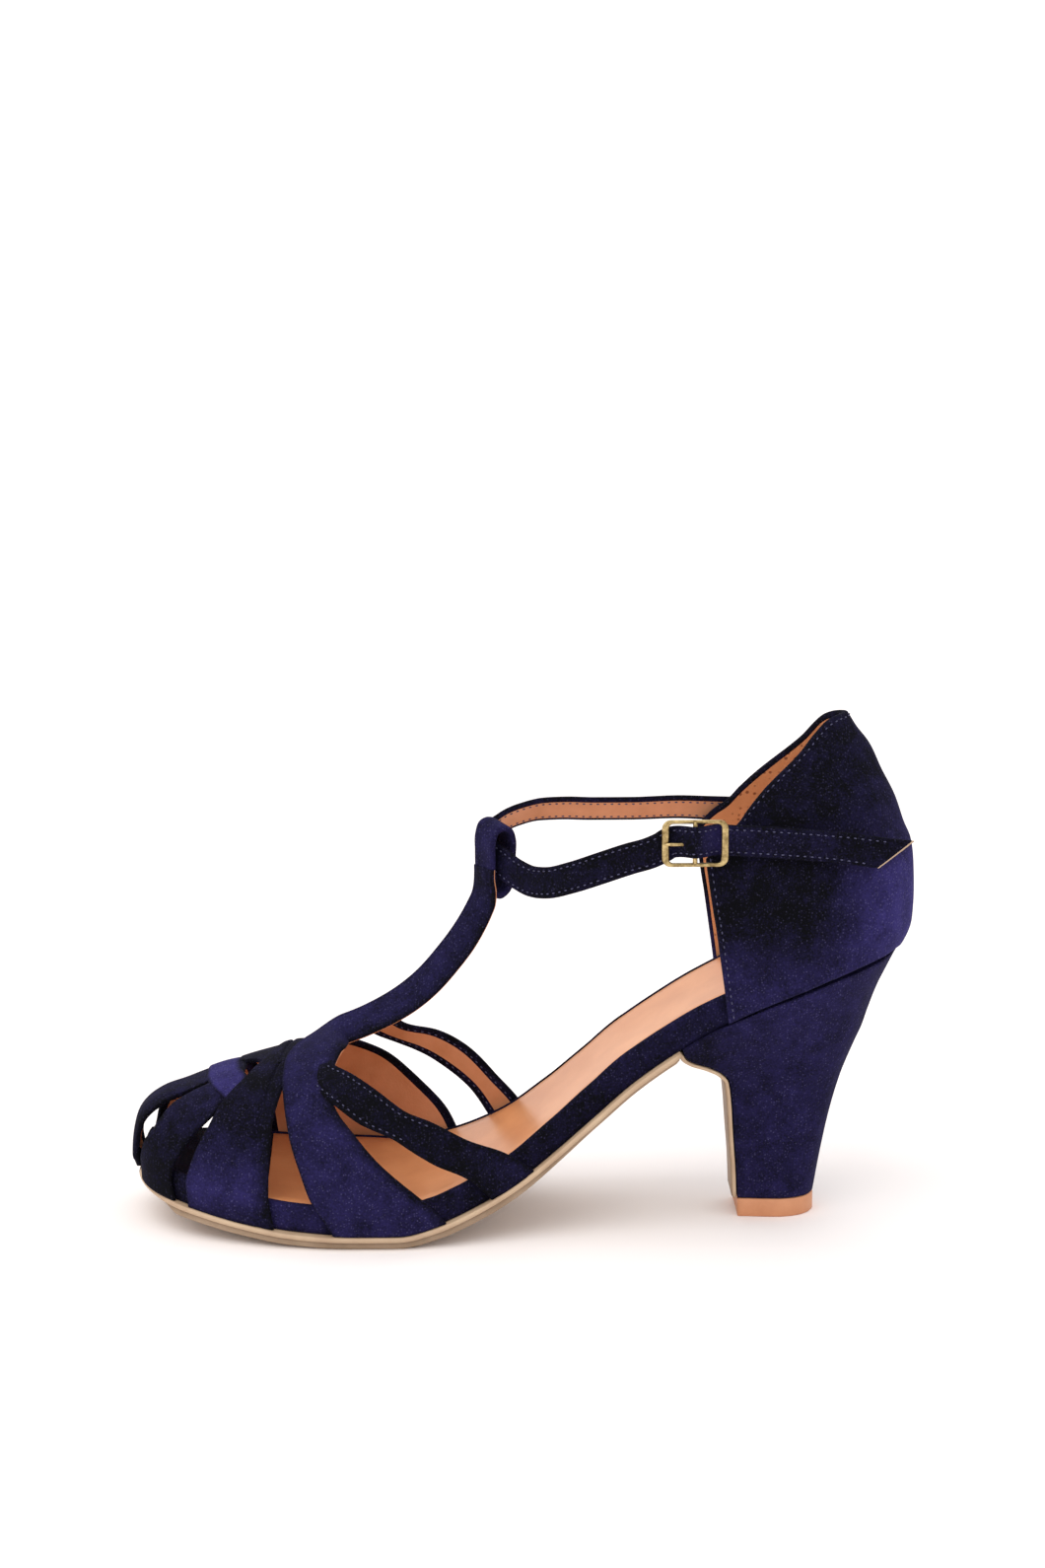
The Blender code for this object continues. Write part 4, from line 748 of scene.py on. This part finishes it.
ankle, ankleShell = wallShell("ankleStrap", ankleGrid, 1, ankleSizes,
                              [velvet, lining, flangeLeather], anklePaintedLight)
lastRows = len(ankle.data.vertices) - 2 * len(ankle.data.polygons[-1].vertices)
for face in ankle.data.polygons:  # the slanted cut end shows its leather
    if min(face.vertices) >= lastRows:
        face.material_index = 2
finishPiece(ankle, "strap_velvet", "ankle_strap")
for fromRear in (False, True):
    over = ankleSizes["thickness"] + ankleSizes["stitchOver"]
    stitchLines.append(edgeRow(ankleShell, ankleSizes["stitchIn"], over, fromRear,
                               slice(0, -ankleSizes["unsewnRows"])))
    stitchLines.append(edgeRow(ankleShell, ankleSizes["liningStitchIn"], -ankleSizes["liningStitchOver"],
                               fromRear, slice(*ankleSizes["sewnLining"])))


def buckleTab():  # velvet band from the counter, under the strap and round the centre bar
    b = buckleSizes
    barX = float(along(b["along"]))
    reach = (b["centreBar"] + b["tabThickness"]) / 2 + clearance
    line, lean = anklePath(700)
    outward = ribbonFrames(line, lean)[2]
    under = strapSizes["ankleThickness"] / 2 + clearance + b["tabThickness"] / 2
    past = line[:, 0] - barX
    outer = (line - outward * under)[(line[:, 1] < 0) & (past > 0.3 * reach) & (past < b["tabReach"])]
    deep = line - outward * (under + b["tabThickness"] + 2 * clearance)
    inner = deep[(deep[:, 1] < 0) & (deep[:, 1] > b["side"] + reach) & (past > reach)
                 & (past < b["tabInner"] * reach)]
    turned = np.radians(np.arange(90, 271, 7.5))
    wrap = np.column_stack([barX + reach * np.cos(turned), b["side"] - reach * np.sin(turned), 0 * turned])
    line = np.concatenate([outer[::-1], wrap, inner])
    line[:, 2] = strapSizes["ankleHeight"]
    line = smoothAlong(line, np.linspace(0, 1, 160))
    grid = ribbonGrid(line, np.zeros(len(line)), b["tabWidth"], b["tabThickness"] / 2, 16)
    sizes = {"thickness": b["tabThickness"], "margin": b["tabMargin"], "columns": 12}
    made = wallShell("buckleTab", grid, 1, sizes, [velvet, velvet], 0.15)[0]
    return finishPiece(made, "tab_velvet", "buckle_tab")


def roundedFrame(length, height, radius):
    corners = []
    for xSide, zSide, start in ((1, 1, 0), (-1, 1, 90), (-1, -1, 180), (1, -1, 270)):
        for angle in np.radians(np.linspace(start, start + 90, 9)):
            corners.append((xSide * (length / 2 - radius) + radius * math.cos(angle),
                            zSide * (height / 2 - radius) + radius * math.sin(angle)))
    return np.array(corners)


def buckleFrame():  # cast frame, rounded all round, wider at its side bars
    b = buckleSizes
    radius = b["corner"] * b["height"]
    outer = roundedFrame(b["length"], b["height"], radius)
    inner = roundedFrame(b["length"] - 2 * b["sideBar"], b["height"] - 2 * b["topBar"], 0.5 * radius)
    centre = np.array([float(along(b["along"])), b["side"], strapSizes["ankleHeight"]])
    turns = np.linspace(0, 2 * math.pi, 17)[:-1]
    rings = []
    for a, c in zip(outer, inner):
        ring = []
        for angle in turns:
            wide, deep = math.cos(angle), math.sin(angle)
            wide, deep = np.sign(wide) * abs(wide) ** 0.6, np.sign(deep) * abs(deep) ** 0.6
            spot = (a + c) / 2 + (a - c) / 2 * wide
            ring.append(centre + (spot[0], -deep * b["depth"] / 2, spot[1]))
        rings.append(ring)
    made = ringMesh("buckleFrame", rings, [brass], closed=True)
    return finishPiece(made, "aged_brass", "buckle_frame")


def rod(name, line, radii, paint):
    line = np.asarray(line, float)
    tangents = unit(np.gradient(line, axis=0))
    first = unit(np.cross(tangents, (0.0, 0.3, 1.0)))
    second = np.cross(tangents, first)
    turns = np.linspace(0, 2 * math.pi, 17)[:-1]
    radii = np.broadcast_to(radii, len(line))
    rings = [[p + r * (f * math.cos(a) + s * math.sin(a)) for a in turns]
             for p, f, s, r in zip(line, first, second, radii)]
    return ringMesh(name, rings, [paint])


def buckleFittings():
    b = buckleSizes
    barX, height = float(along(b["along"])), strapSizes["ankleHeight"]
    half = (b["height"] - b["topBar"]) / 2
    bar = rod("buckleBar", [(barX, b["side"], height + half * s) for s in np.linspace(-1, 1, 9)],
              b["centreBar"] / 2, brass)
    finishPiece(bar, "aged_brass")
    reach = b["centreBar"] / 2 + clearance + b["prong"] / 2
    rest = b["side"] - b["depth"] / 2 - clearance - b["prong"] / 2
    line = []
    for angle in np.radians(np.arange(-150, 91, 10)):
        line.append((barX + reach * math.cos(angle), b["side"] - reach * math.sin(angle), height))
    top, tipX = line[-1][1], barX - b["length"] / 2 + 0.4 * b["sideBar"]
    for share in np.linspace(0.08, 1, 14):
        line.append((barX + (tipX - barX) * share, top + (rest - top) * share, height))
    radii = np.full(len(line), b["prong"] / 2)
    radii[-4:] *= (0.98, 0.9, 0.75, 0.45)
    prong = rod("buckleProng", line, radii, brass)
    return finishPiece(prong, "prong_brass", "buckle_prong")


buckleTab()
buckleFrame()
buckleFittings()
print("ankle strap and buckle made")


# Quarter: counter and collar round the heel

quarterSizes = {
    "thickness": 0.0024, "margin": 0.0016, "endMargin": 0.0016, "columns": 60, "rows": 150, "height": 0.0688,
    "front": 0.0146, "medialDrop": 0.002, "stitchIn": 0.0016, "frontStitchIn": 0.0018,
    "grooves": [(True, 0.0016, 0.00022, 0.0005)],
    # height over the seat's end (share), front edge and back (shares of the front), width
    "levels": [
        (-0.300, -0.96, 2.30, 1.000), (0.000, -1.15, 2.40, 1.030), (0.070, -1.20, 2.55, 1.035),
        (0.115, -1.23, 2.62, 1.030), (0.240, -1.33, 2.65, 0.990), (0.370, -1.42, 2.63, 0.930),
        (0.450, -1.47, 2.58, 0.880), (0.520, -1.50, 2.44, 0.820), (0.635, -1.52, 2.25, 0.710),
        (0.750, -1.54, 1.97, 0.600), (0.850, -1.55, 1.75, 0.510), (0.930, -1.56, 1.46, 0.430),
        (1.020, -1.57, 1.22, 0.360)],
    # share of the way from front edge to back, height of the collar (share)
    "collar": [
        (0.000, 0.440), (0.040, 0.475), (0.100, 0.530), (0.174, 0.578), (0.243, 0.642),
        (0.333, 0.710), (0.448, 0.780), (0.578, 0.850), (0.746, 0.930), (0.876, 0.982),
        (0.950, 0.995), (1.000, 0.998)],
}


def quarterGrid(columnCount):
    q = quarterSizes
    lateral = lastSides[-1][lastSides[-1][:, 0] > -q["front"]]
    medial = lastSides[1][lastSides[1][:, 0] > -q["front"]][::-1]
    base = np.vstack([lateral, medial[1:]])
    lengths = np.concatenate([[0], np.cumsum(np.linalg.norm(np.diff(base, axis=0), axis=1))])
    even = np.linspace(0, lengths[-1], 65)
    base = np.column_stack([np.interp(even, lengths, base[:, i]) for i in (0, 1)])
    frontX, backX = base[0, 0], base[:, 0].max()
    seat = lastSizes["groundLift"] + lastSizes["seatRise"]
    share = (base[:, 0] - frontX) / (backX - frontX)
    low = feather(base[:, 0] + q["thickness"] * share ** 2) + clearance + 0.45 * q["thickness"] * share ** 4
    high = seat + q["height"] * curveThrough(q["collar"], 1, share)
    high = high - (base[:, 1] > 0) * q["medialDrop"] * np.sin(math.pi * share)
    z = low[:, None] + (high - low)[:, None] * np.linspace(0, 1, columnCount)
    level = (z - seat) / q["height"]
    front = q["front"] * curveThrough(q["levels"], 1, level)
    back = q["front"] * curveThrough(q["levels"], 2, level)
    x = front + (back - front) * share[:, None]
    y = base[:, 1][:, None] * curveThrough(q["levels"], 3, level)
    grid = np.stack([x, y, z], axis=-1)
    return smoothAlong(grid, roundedPlaces(grid, q["thickness"] / 2, q["rows"]))


# painted light and shade on the quarter: dark near the collar, lighter low down and lightest low at the back
def quarterPaintedLight(points):
    level = np.interp(points[:, 2], [0.065, 0.075, 0.083, 0.09, 0.1, 0.11, 0.15],
                      [0.32, 0.28, 0.16, 0.03, 0.0, 0.02, 0.03])
    rear = np.interp(points[:, 2], [0.065, 0.08, 0.09, 0.105, 0.113, 0.13],
                     [0.2, 0.5, 0.75, 0.75, 0.25, 0.08])
    return level + rear * np.interp(points[:, 0], [0.012, 0.034], [0.0, 1.0])


quarter, quarterShell = wallShell("quarterShell", quarterGrid(60), 1, quarterSizes, [velvet, quarterLining],
                                  quarterPaintedLight, (True, True))
finishPiece(quarter, "counter_velvet", "quarter")
collarRow = edgeRow(quarterShell, quarterSizes["stitchIn"], quarterSizes["thickness"], True, slice(9, -9))
stitchLines.append(collarRow)


def frontEdgeLine(shell, distance, last):  # stitches that run down the quarter's front edge
    grid = shell["grid"][::-1] if last else shell["grid"]
    normals = shell["normals"][::-1] if last else shell["normals"]
    points = []
    for column in range(2, grid.shape[1] - 2):
        run = np.concatenate([[0], np.cumsum(np.linalg.norm(np.diff(grid[:, column], axis=0), axis=1))])
        spot = [np.interp(distance, run, grid[:, column, i]) for i in range(3)]
        lean = [np.interp(distance, run, normals[:, column, i]) for i in range(3)]
        points.append(np.array(spot) + quarterSizes["thickness"] * np.array(lean))
    return np.array(points)


stitchLines += [frontEdgeLine(quarterShell, quarterSizes["frontStitchIn"], last) for last in (False, True)]
print("quarter made")


# Sole: flange and tread, velvet rand, sock, heel and top lift

soleSizes = {
    "flange": 0.0015, "tread": 0.0022, "flangeOut": 0.0024, "treadInset": 0.0016, "rand": 0.008,
    "randGap": 0.0005,
    "sock": 0.001, "sockDrop": 0.0005, "sockEdge": 0.0006, "shadedToeEnd": 0.172,
    "randEdge": 0.0011, "rim": 0.0018, "heelOut": 0.0014, "heelLip": 0.0285,
    "breastFlap": 0.0013, "tipHeight": 0.0055, "tipLength": 0.0228, "tipCentre": 0.0004,
    # the top lift's rounded edges: height from the ground or depth under its top, inset
    "tipFoot": [(0, 0.0004), (0.00015, 0.00012), (0.0004, 0)],
    "tipTop": [(0.0003, 0), (0.0001, 0.0001), (0, 0.0003)],
    "flangeGrowth": [(0.000, 0.10), (0.020, 0.30), (0.060, 0.85), (0.100, 1.00), (1.000, 1.00)],
    "treadDepth": [(0.000, 0.12), (0.035, 0.15), (0.056, 1.00), (0.450, 1.00), (0.600, 0.40), (1.000, 0.40)],
    # share of the way up, front, rear and half width (shares of the tip's length)
    "heel": [
        (0.000, -0.465, 0.535, 0.46), (0.150, -0.482, 0.610, 0.47), (0.330, -0.518, 0.719, 0.50),
        (0.500, -0.548, 0.864, 0.56), (0.640, -0.596, 1.044, 0.66), (0.700, -0.684, 1.132, 0.73),
        (0.775, -0.860, 1.212, 0.83), (0.865, -1.080, 1.325, 0.96), (0.930, -1.180, 1.435, 1.05),
        (1.000, -1.228, 1.560, 1.13)],
}
flangeSides = {side: outlineEdge(side, soleSizes["flangeOut"], soleSizes["flangeGrowth"]) for side in (-1, 1)}
randSides = {side: outlineEdge(side, -soleSizes["randGap"]) for side in (-1, 1)}
seatSides = {side: outlineEdge(side, soleSizes["heelOut"]) for side in (-1, 1)}


def heelLevel(level):
    s = soleSizes
    front = s["tipCentre"] + s["tipLength"] * curveThrough(s["heel"], 1, level)
    rear = s["tipCentre"] + s["tipLength"] * curveThrough(s["heel"], 2, level)
    return front, rear, s["tipLength"] * curveThrough(s["heel"], 3, level)


def heelHeight(x, level):
    base = soleSizes["tipHeight"] + clearance
    return base + (feather(x) - clearance - base) * level


def heelShape(count):
    front, rear, width = heelLevel(1.0)
    shares = np.sin(np.linspace(0, math.pi / 2, count))
    return shares, np.abs(edgeAt(seatSides, 1, front + (rear - front) * shares)) / width


def heelRing(level, count, height=None, inset=0.0):
    front, rear, width = heelLevel(level)
    shares, sides = heelShape(count)
    x = front + inset + (rear - front - 2 * inset) * shares
    y = (width - inset) * sides
    z = heelHeight(x, level) if height is None else np.full(len(x), height)
    right = np.column_stack([x, -y, z])
    left = np.column_stack([x, y, z])[::-1]
    breast = np.linspace(left[-1], right[0], 9)[1:-1]
    return np.concatenate([right, left[1:], breast])


# painted light and shade on the heel: dark at the breast, lightest over the middle and towards the back
def heelPaintedLight(points):
    upright = np.interp(points[:, 2], [0.006, 0.02, 0.04, 0.055, 0.068], [0.25, 0.27, 0.26, 0.3, 0.34])
    places = points[:, 0] + 0.15 * points[:, 2]
    return upright * np.interp(places, [-0.012, -0.004, 0.012, 0.04], [0.35, 0.85, 1.0, 0.75])


levels = np.linspace(0, 1, 60)
heel = ringMesh("heelBlock", [heelRing(level, 40) for level in levels], [velvet])
paintLightAndShade(heel, heelPaintedLight)
finishPiece(heel, "heel_velvet", "heel")

tipEdges = soleSizes["tipFoot"] + [
    (soleSizes["tipHeight"] - depth, inset) for depth, inset in soleSizes["tipTop"]]
tip = ringMesh("topLift", [heelRing(0, 40, height, inset) for height, inset in tipEdges], [tipRubber])
finishPiece(tip, "tip_rubber", "heel_tip")


def soleStations(count):
    start = toeX - soleSizes["flangeOut"] * soleSizes["flangeGrowth"][0][1] + clearance / 3
    turns = np.linspace(0, math.pi / 2, count)
    end = -soleSizes["heelLip"]
    return start + (end - start) * (1 - np.cos(turns))


def soleParts():
    s = soleSizes
    xs = soleStations(110)
    path = np.column_stack([xs, feather(xs) - clearance])
    widths = np.column_stack([edgeAt(flangeSides, -1, xs), edgeAt(flangeSides, 1, xs)])
    upper = np.full(len(xs), s["flange"])
    lower = s["tread"] * curveThrough(s["treadDepth"], 1, shareOf(xs))
    breastSide = heelShape(13)[1][0]
    levels = np.concatenate([np.linspace(0.955, 0.6, 24), np.linspace(0.57, 0, 16)])
    for level in levels:
        front, _, width = heelLevel(level)
        depth = heelHeight(front, level) - clearance * min(1, 2 * level)
        path = np.vstack([path, (front - clearance, depth)])
        widths = np.vstack([widths, (-width * breastSide, width * breastSide)])
        upper = np.append(upper, 0.8 * s["breastFlap"])
        lower = np.append(lower, 0.2 * s["breastFlap"])
    tangents = unit(np.gradient(path, axis=0))
    down = np.column_stack([tangents[:, 1], 0 * tangents[:, 0], -tangents[:, 0]])
    flange, tread = [], []
    for spot, (left, right), top, deep, fall in zip(path, widths, upper, lower, down):
        centre = np.array([spot[0], 0, spot[1]])
        r = min(0.45 * top, (right - left) / 6)
        inset = min(s["treadInset"], (right - left) / 5)
        arc = np.linspace(0, math.pi, 7)
        edge = [(left + r - r * math.sin(a), top / 2 - top / 2 * math.cos(a)) for a in arc]
        edge += [(right - r + r * math.sin(a), top / 2 + top / 2 * math.cos(a)) for a in arc]
        flange.append([centre + (0, y, 0) + fall * depth for y, depth in edge])
        r = min(0.4 * deep, 0.0006)
        deepest = top + deep
        start = 0.6 * top
        near, far = left + inset, right - inset
        edge = [(near, start), (near, deepest - r), (near + 0.3 * r, deepest - 0.3 * r), (near + r, deepest),
                (far - r, deepest), (far - 0.3 * r, deepest - 0.3 * r), (far, deepest - r), (far, start)]
        tread.append([centre + (0, y, 0) + fall * depth for y, depth in edge])
    made = ringMesh("soleFlange", flange, [flangeLeather])
    finishPiece(made, "sole_leather", "outsole")
    made = ringMesh("soleTread", tread[2:], [soleLeather])
    finishPiece(made, "sole_leather")


soleParts()


def randSection(x):  # side heights and half widths of the rand at one station
    s = soleSizes
    share = shareOf(x)
    height = lastSizes["vampHeight"] * curveThrough(lastSizes["ridge"], 1, share, True)
    power = curveThrough(lastSizes["ridge"], 3, share)
    step = insoleLength / 1000
    slope = (feather(x + step) - feather(x - step)) / (2 * step)
    tall = math.hypot(slope, 1)
    thickness = min(s["rand"] * tall, 0.55 * height)
    middle = ballWidth * curveThrough(lastSizes["ridge"], 2, share)
    fromEnd = min(x - toeX, heelX - x)
    fade = min(1, max(0, fromEnd / (s["rand"] / 8) - 1))
    recess = min((s["sock"] + s["sockDrop"] + clearance) * tall, 0.4 * thickness) * fade

    def sideAt(side, level):
        edge = edgeAt(randSides, side, x)
        cosine = (level * thickness / height) ** (power / 2)
        return middle + (edge - middle) * math.sqrt(1 - cosine ** 2) ** (2 / power)
    return sideAt, thickness, recess, tall


def randAndSock():
    s = soleSizes
    turns = np.linspace(0, math.pi, 190)
    xs = toeX + 2 * clearance + (insoleLength - 4 * clearance) * (1 - np.cos(turns)) / 2
    randRings, sockRings = [], []
    for x in xs:
        sideAt, thickness, recess, tall = randSection(x)
        floor = float(feather(x))
        right, left = sideAt(1, 1), sideAt(-1, 1)
        r = min(s["randEdge"] * tall, 0.2 * (right - left), 0.3 * thickness)
        half = {}
        for side in (-1, 1):
            points = [(x, sideAt(side, level), floor + level * thickness)
                      for level in np.linspace(0, 1 - r / thickness, 6)]
            low = points[-1][1]
            for angle in np.radians((30, 60, 90)):
                inwards, upwards = r * (1 - math.cos(angle)), r * math.sin(angle)
                points.append((x, low - side * inwards, floor + thickness - r + upwards))
            rim = low - side * min(s["rim"], 0.15 * (right - left))
            points += [(x, rim, floor + thickness), (x, rim - side * 0.0002, floor + thickness - recess)]
            half[side] = points
        randRings.append(half[-1] + half[1][::-1])
        if recess >= (s["sock"] + s["sockDrop"] + clearance) * tall - clearance / 10:
            inner = {side: half[side][-2][1] for side in (-1, 1)}
            if inner[1] - inner[-1] > 4 * s["rim"]:
                low = floor + thickness - recess + clearance
                top = low + (s["sock"] + s["sockDrop"] * 0.6) * tall
                e = s["sockEdge"]
                for side in (-1, 1):
                    edge = inner[side] - side * clearance
                    half[side] = [(x, edge, low), (x, edge, top - e),
                                  (x, edge - side * 0.3 * e, top - 0.3 * e), (x, edge - side * e, top)]
                first, last = half[-1][-1][1], half[1][-1][1]
                middle = [(x, first + (last - first) * t, top - e * math.sin(math.pi * t))
                          for t in np.linspace(0, 1, 14)[1:-1]]
                sockRings.append(half[-1] + middle + half[1][::-1])
    rand = ringMesh("velvetRand", randRings, [velvet])
    # painted light and shade on the rand: lighter a little behind the toe, darker at the tip and along the
    # waist
    paintLightAndShade(rand, paintedLightTable(0, [(-0.18, 0.02), (-0.165, 0.12), (-0.15, 0.3), (-0.135, 0.28), (-0.118, 0.15),
                                (-0.09, 0.08), (-0.06, 0.05), (-0.03, 0.12), (0.03, 0.14)]))
    finishPiece(rand, "rand_velvet", "midsole")
    sock = ringMesh("sockLining", sockRings[1:-1], [sockLeather, velvet])
    for face in sock.data.polygons:  # painted shade: the toe end is given black velvet to stand for the deep shade inside the toe
        if face.center.x < along(s["shadedToeEnd"]):
            face.material_index = 1
    # the velvet at the toe end is set to full painted shade
    paintLightAndShade(sock, 0.0)
    finishPiece(sock, "sock_leather", "insole_sock")


randAndSock()
print("sole and heel made")


# Stitches: thread laid along every sewn line

stitchSizes = {"spacing": 0.0021, "length": 0.0009, "thickness": 0.00045}


def stitchTree():
    tree = bpy.data.node_groups.new("stitchRow", "GeometryNodeTree")
    face = tree.interface
    face.new_socket("Geometry", in_out="INPUT", socket_type="NodeSocketGeometry")
    for key, value in stitchSizes.items():
        face.new_socket(key.capitalize(), in_out="INPUT", socket_type="NodeSocketFloat").default_value = value
    face.new_socket("Thread", in_out="INPUT", socket_type="NodeSocketMaterial")
    face.new_socket("Geometry", in_out="OUTPUT", socket_type="NodeSocketGeometry")
    given = addNode(tree, "NodeGroupInput").outputs
    curve = addNode(tree, "GeometryNodeMeshToCurve", None, {0: given["Geometry"]})
    even = addNode(tree, "GeometryNodeResampleCurve", {"mode": "LENGTH"}, {
        "Curve": curve.outputs[0], "Length": given["Spacing"]})
    halfThick = mathNode(tree, "MULTIPLY", given["Thickness"], 0.5)
    halfLength = mathNode(tree, "MULTIPLY", given["Length"], 0.5)
    size = addNode(tree, "ShaderNodeCombineXYZ", None, {0: halfThick, 1: halfThick, 2: halfLength})
    bead = addNode(tree, "GeometryNodeMeshUVSphere", None, {"Segments": 8, "Rings": 6, "Radius": 1.0})
    soft = addNode(tree, "GeometryNodeSetShadeSmooth", None, {0: bead.outputs["Mesh"]})
    tangent = addNode(tree, "GeometryNodeInputTangent")
    turned = addNode(tree, "FunctionNodeAlignRotationToVector", {"axis": "Z"}, {"Vector": tangent.outputs[0]})
    placed = addNode(tree, "GeometryNodeInstanceOnPoints", None, {
        "Points": even.outputs[0], "Instance": soft.outputs[0], "Rotation": turned.outputs[0],
        "Scale": size.outputs[0]})
    real = addNode(tree, "GeometryNodeRealizeInstances", None, {0: placed.outputs[0]})
    painted = addNode(tree, "GeometryNodeSetMaterial", None, {
        "Geometry": real.outputs[0], "Material": given["Thread"]})
    addNode(tree, "NodeGroupOutput", None, {0: painted.outputs[0]})
    return tree


def sewStitches():
    verts, edges = [], []
    for line in stitchLines:
        start = len(verts)
        verts += [tuple(point) for point in line]
        edges += [(start + i, start + i + 1) for i in range(len(line) - 1)]
    mesh = bpy.data.meshes.new("stitchPath")
    mesh.from_pydata(verts, edges, [])
    path = bpy.data.objects.new("stitchPath", mesh)
    bpy.context.scene.collection.objects.link(path)
    tree = stitchTree()
    rows = path.modifiers.new("stitches", "NODES")
    rows.node_group = tree
    ids = {item.name: item.identifier for item in tree.interface.items_tree if item.in_out == "INPUT"}
    rows[ids["Thread"]] = thread
    for key, value in stitchSizes.items():
        rows[ids[key.capitalize()]] = value
    bpy.context.view_layer.update()
    evaluated = path.evaluated_get(bpy.context.evaluated_depsgraph_get())
    made = bpy.data.objects.new("sewnStitches", bpy.data.meshes.new_from_object(evaluated))
    bpy.context.scene.collection.objects.link(made)
    bpy.data.objects.remove(path)
    finishPiece(made, "vamp_velvet")
    print("stitches sewn:", len(made.data.polygons), "faces")


sewStitches()


# Floor, light and camera

stageSizes = {
    "floor": 160.0, "floorColour": "#fffaf8", "skyColour": "#fffdfd", "skyStrength": 0.99,
    "camera": (-0.1036, -1.159, 0.3641), "back": (-0.0257, -0.9796, 0.1994), "lens": 93.74,
    # broad soft lamps far away, so that the floor stays evenly white up to the horizon:
    # name, direction they come from, width in degrees, strength
    "lamps": [("keyLight", (-0.6, -0.7, 1.3), 50, 0.8), ("topLight", (-0.1, 0.3, 1.5), 70, 0.4)],
}


def addStage():
    half = stageSizes["floor"] / 2
    paint = newMaterial("paleStudioFloor", Roughness=0.75, Base_Color=hexColour(stageSizes["floorColour"]))[0]
    floor = addMesh("studioFloor", [(-half, -half, 0), (half, -half, 0), (half, half, 0), (-half, half, 0)],
                    [(0, 1, 2, 3)], [paint])
    world = bpy.data.worlds.new("studio")
    bpy.context.scene.world = world
    world.use_nodes = True
    sky = world.node_tree.nodes["Background"]
    sky.inputs["Color"].default_value = hexColour(stageSizes["skyColour"])
    sky.inputs["Strength"].default_value = stageSizes["skyStrength"]
    for name, towards, width, energy in stageSizes["lamps"]:
        lamp = bpy.data.lights.new(name, "SUN")
        lamp.energy = energy
        lamp.angle = math.radians(width)
        holder = bpy.data.objects.new(name, lamp)
        holder.rotation_euler = Vector(towards).to_track_quat("Z", "Y").to_euler()
        bpy.context.scene.collection.objects.link(holder)


def addCamera():
    lens = bpy.data.cameras.new("photoCamera")
    lens.sensor_fit = "VERTICAL"
    lens.sensor_height = 36.0
    lens.lens = stageSizes["lens"]
    lens.clip_end = 200.0
    camera = bpy.data.objects.new("photoCamera", lens)
    camera.location = stageSizes["camera"]
    camera.rotation_euler = Vector(stageSizes["back"]).to_track_quat("Z", "Y").to_euler()
    bpy.context.scene.collection.objects.link(camera)
    bpy.context.scene.camera = camera


addStage()
addCamera()
bpy.context.scene.view_settings.view_transform = "Standard"
print("stage set")
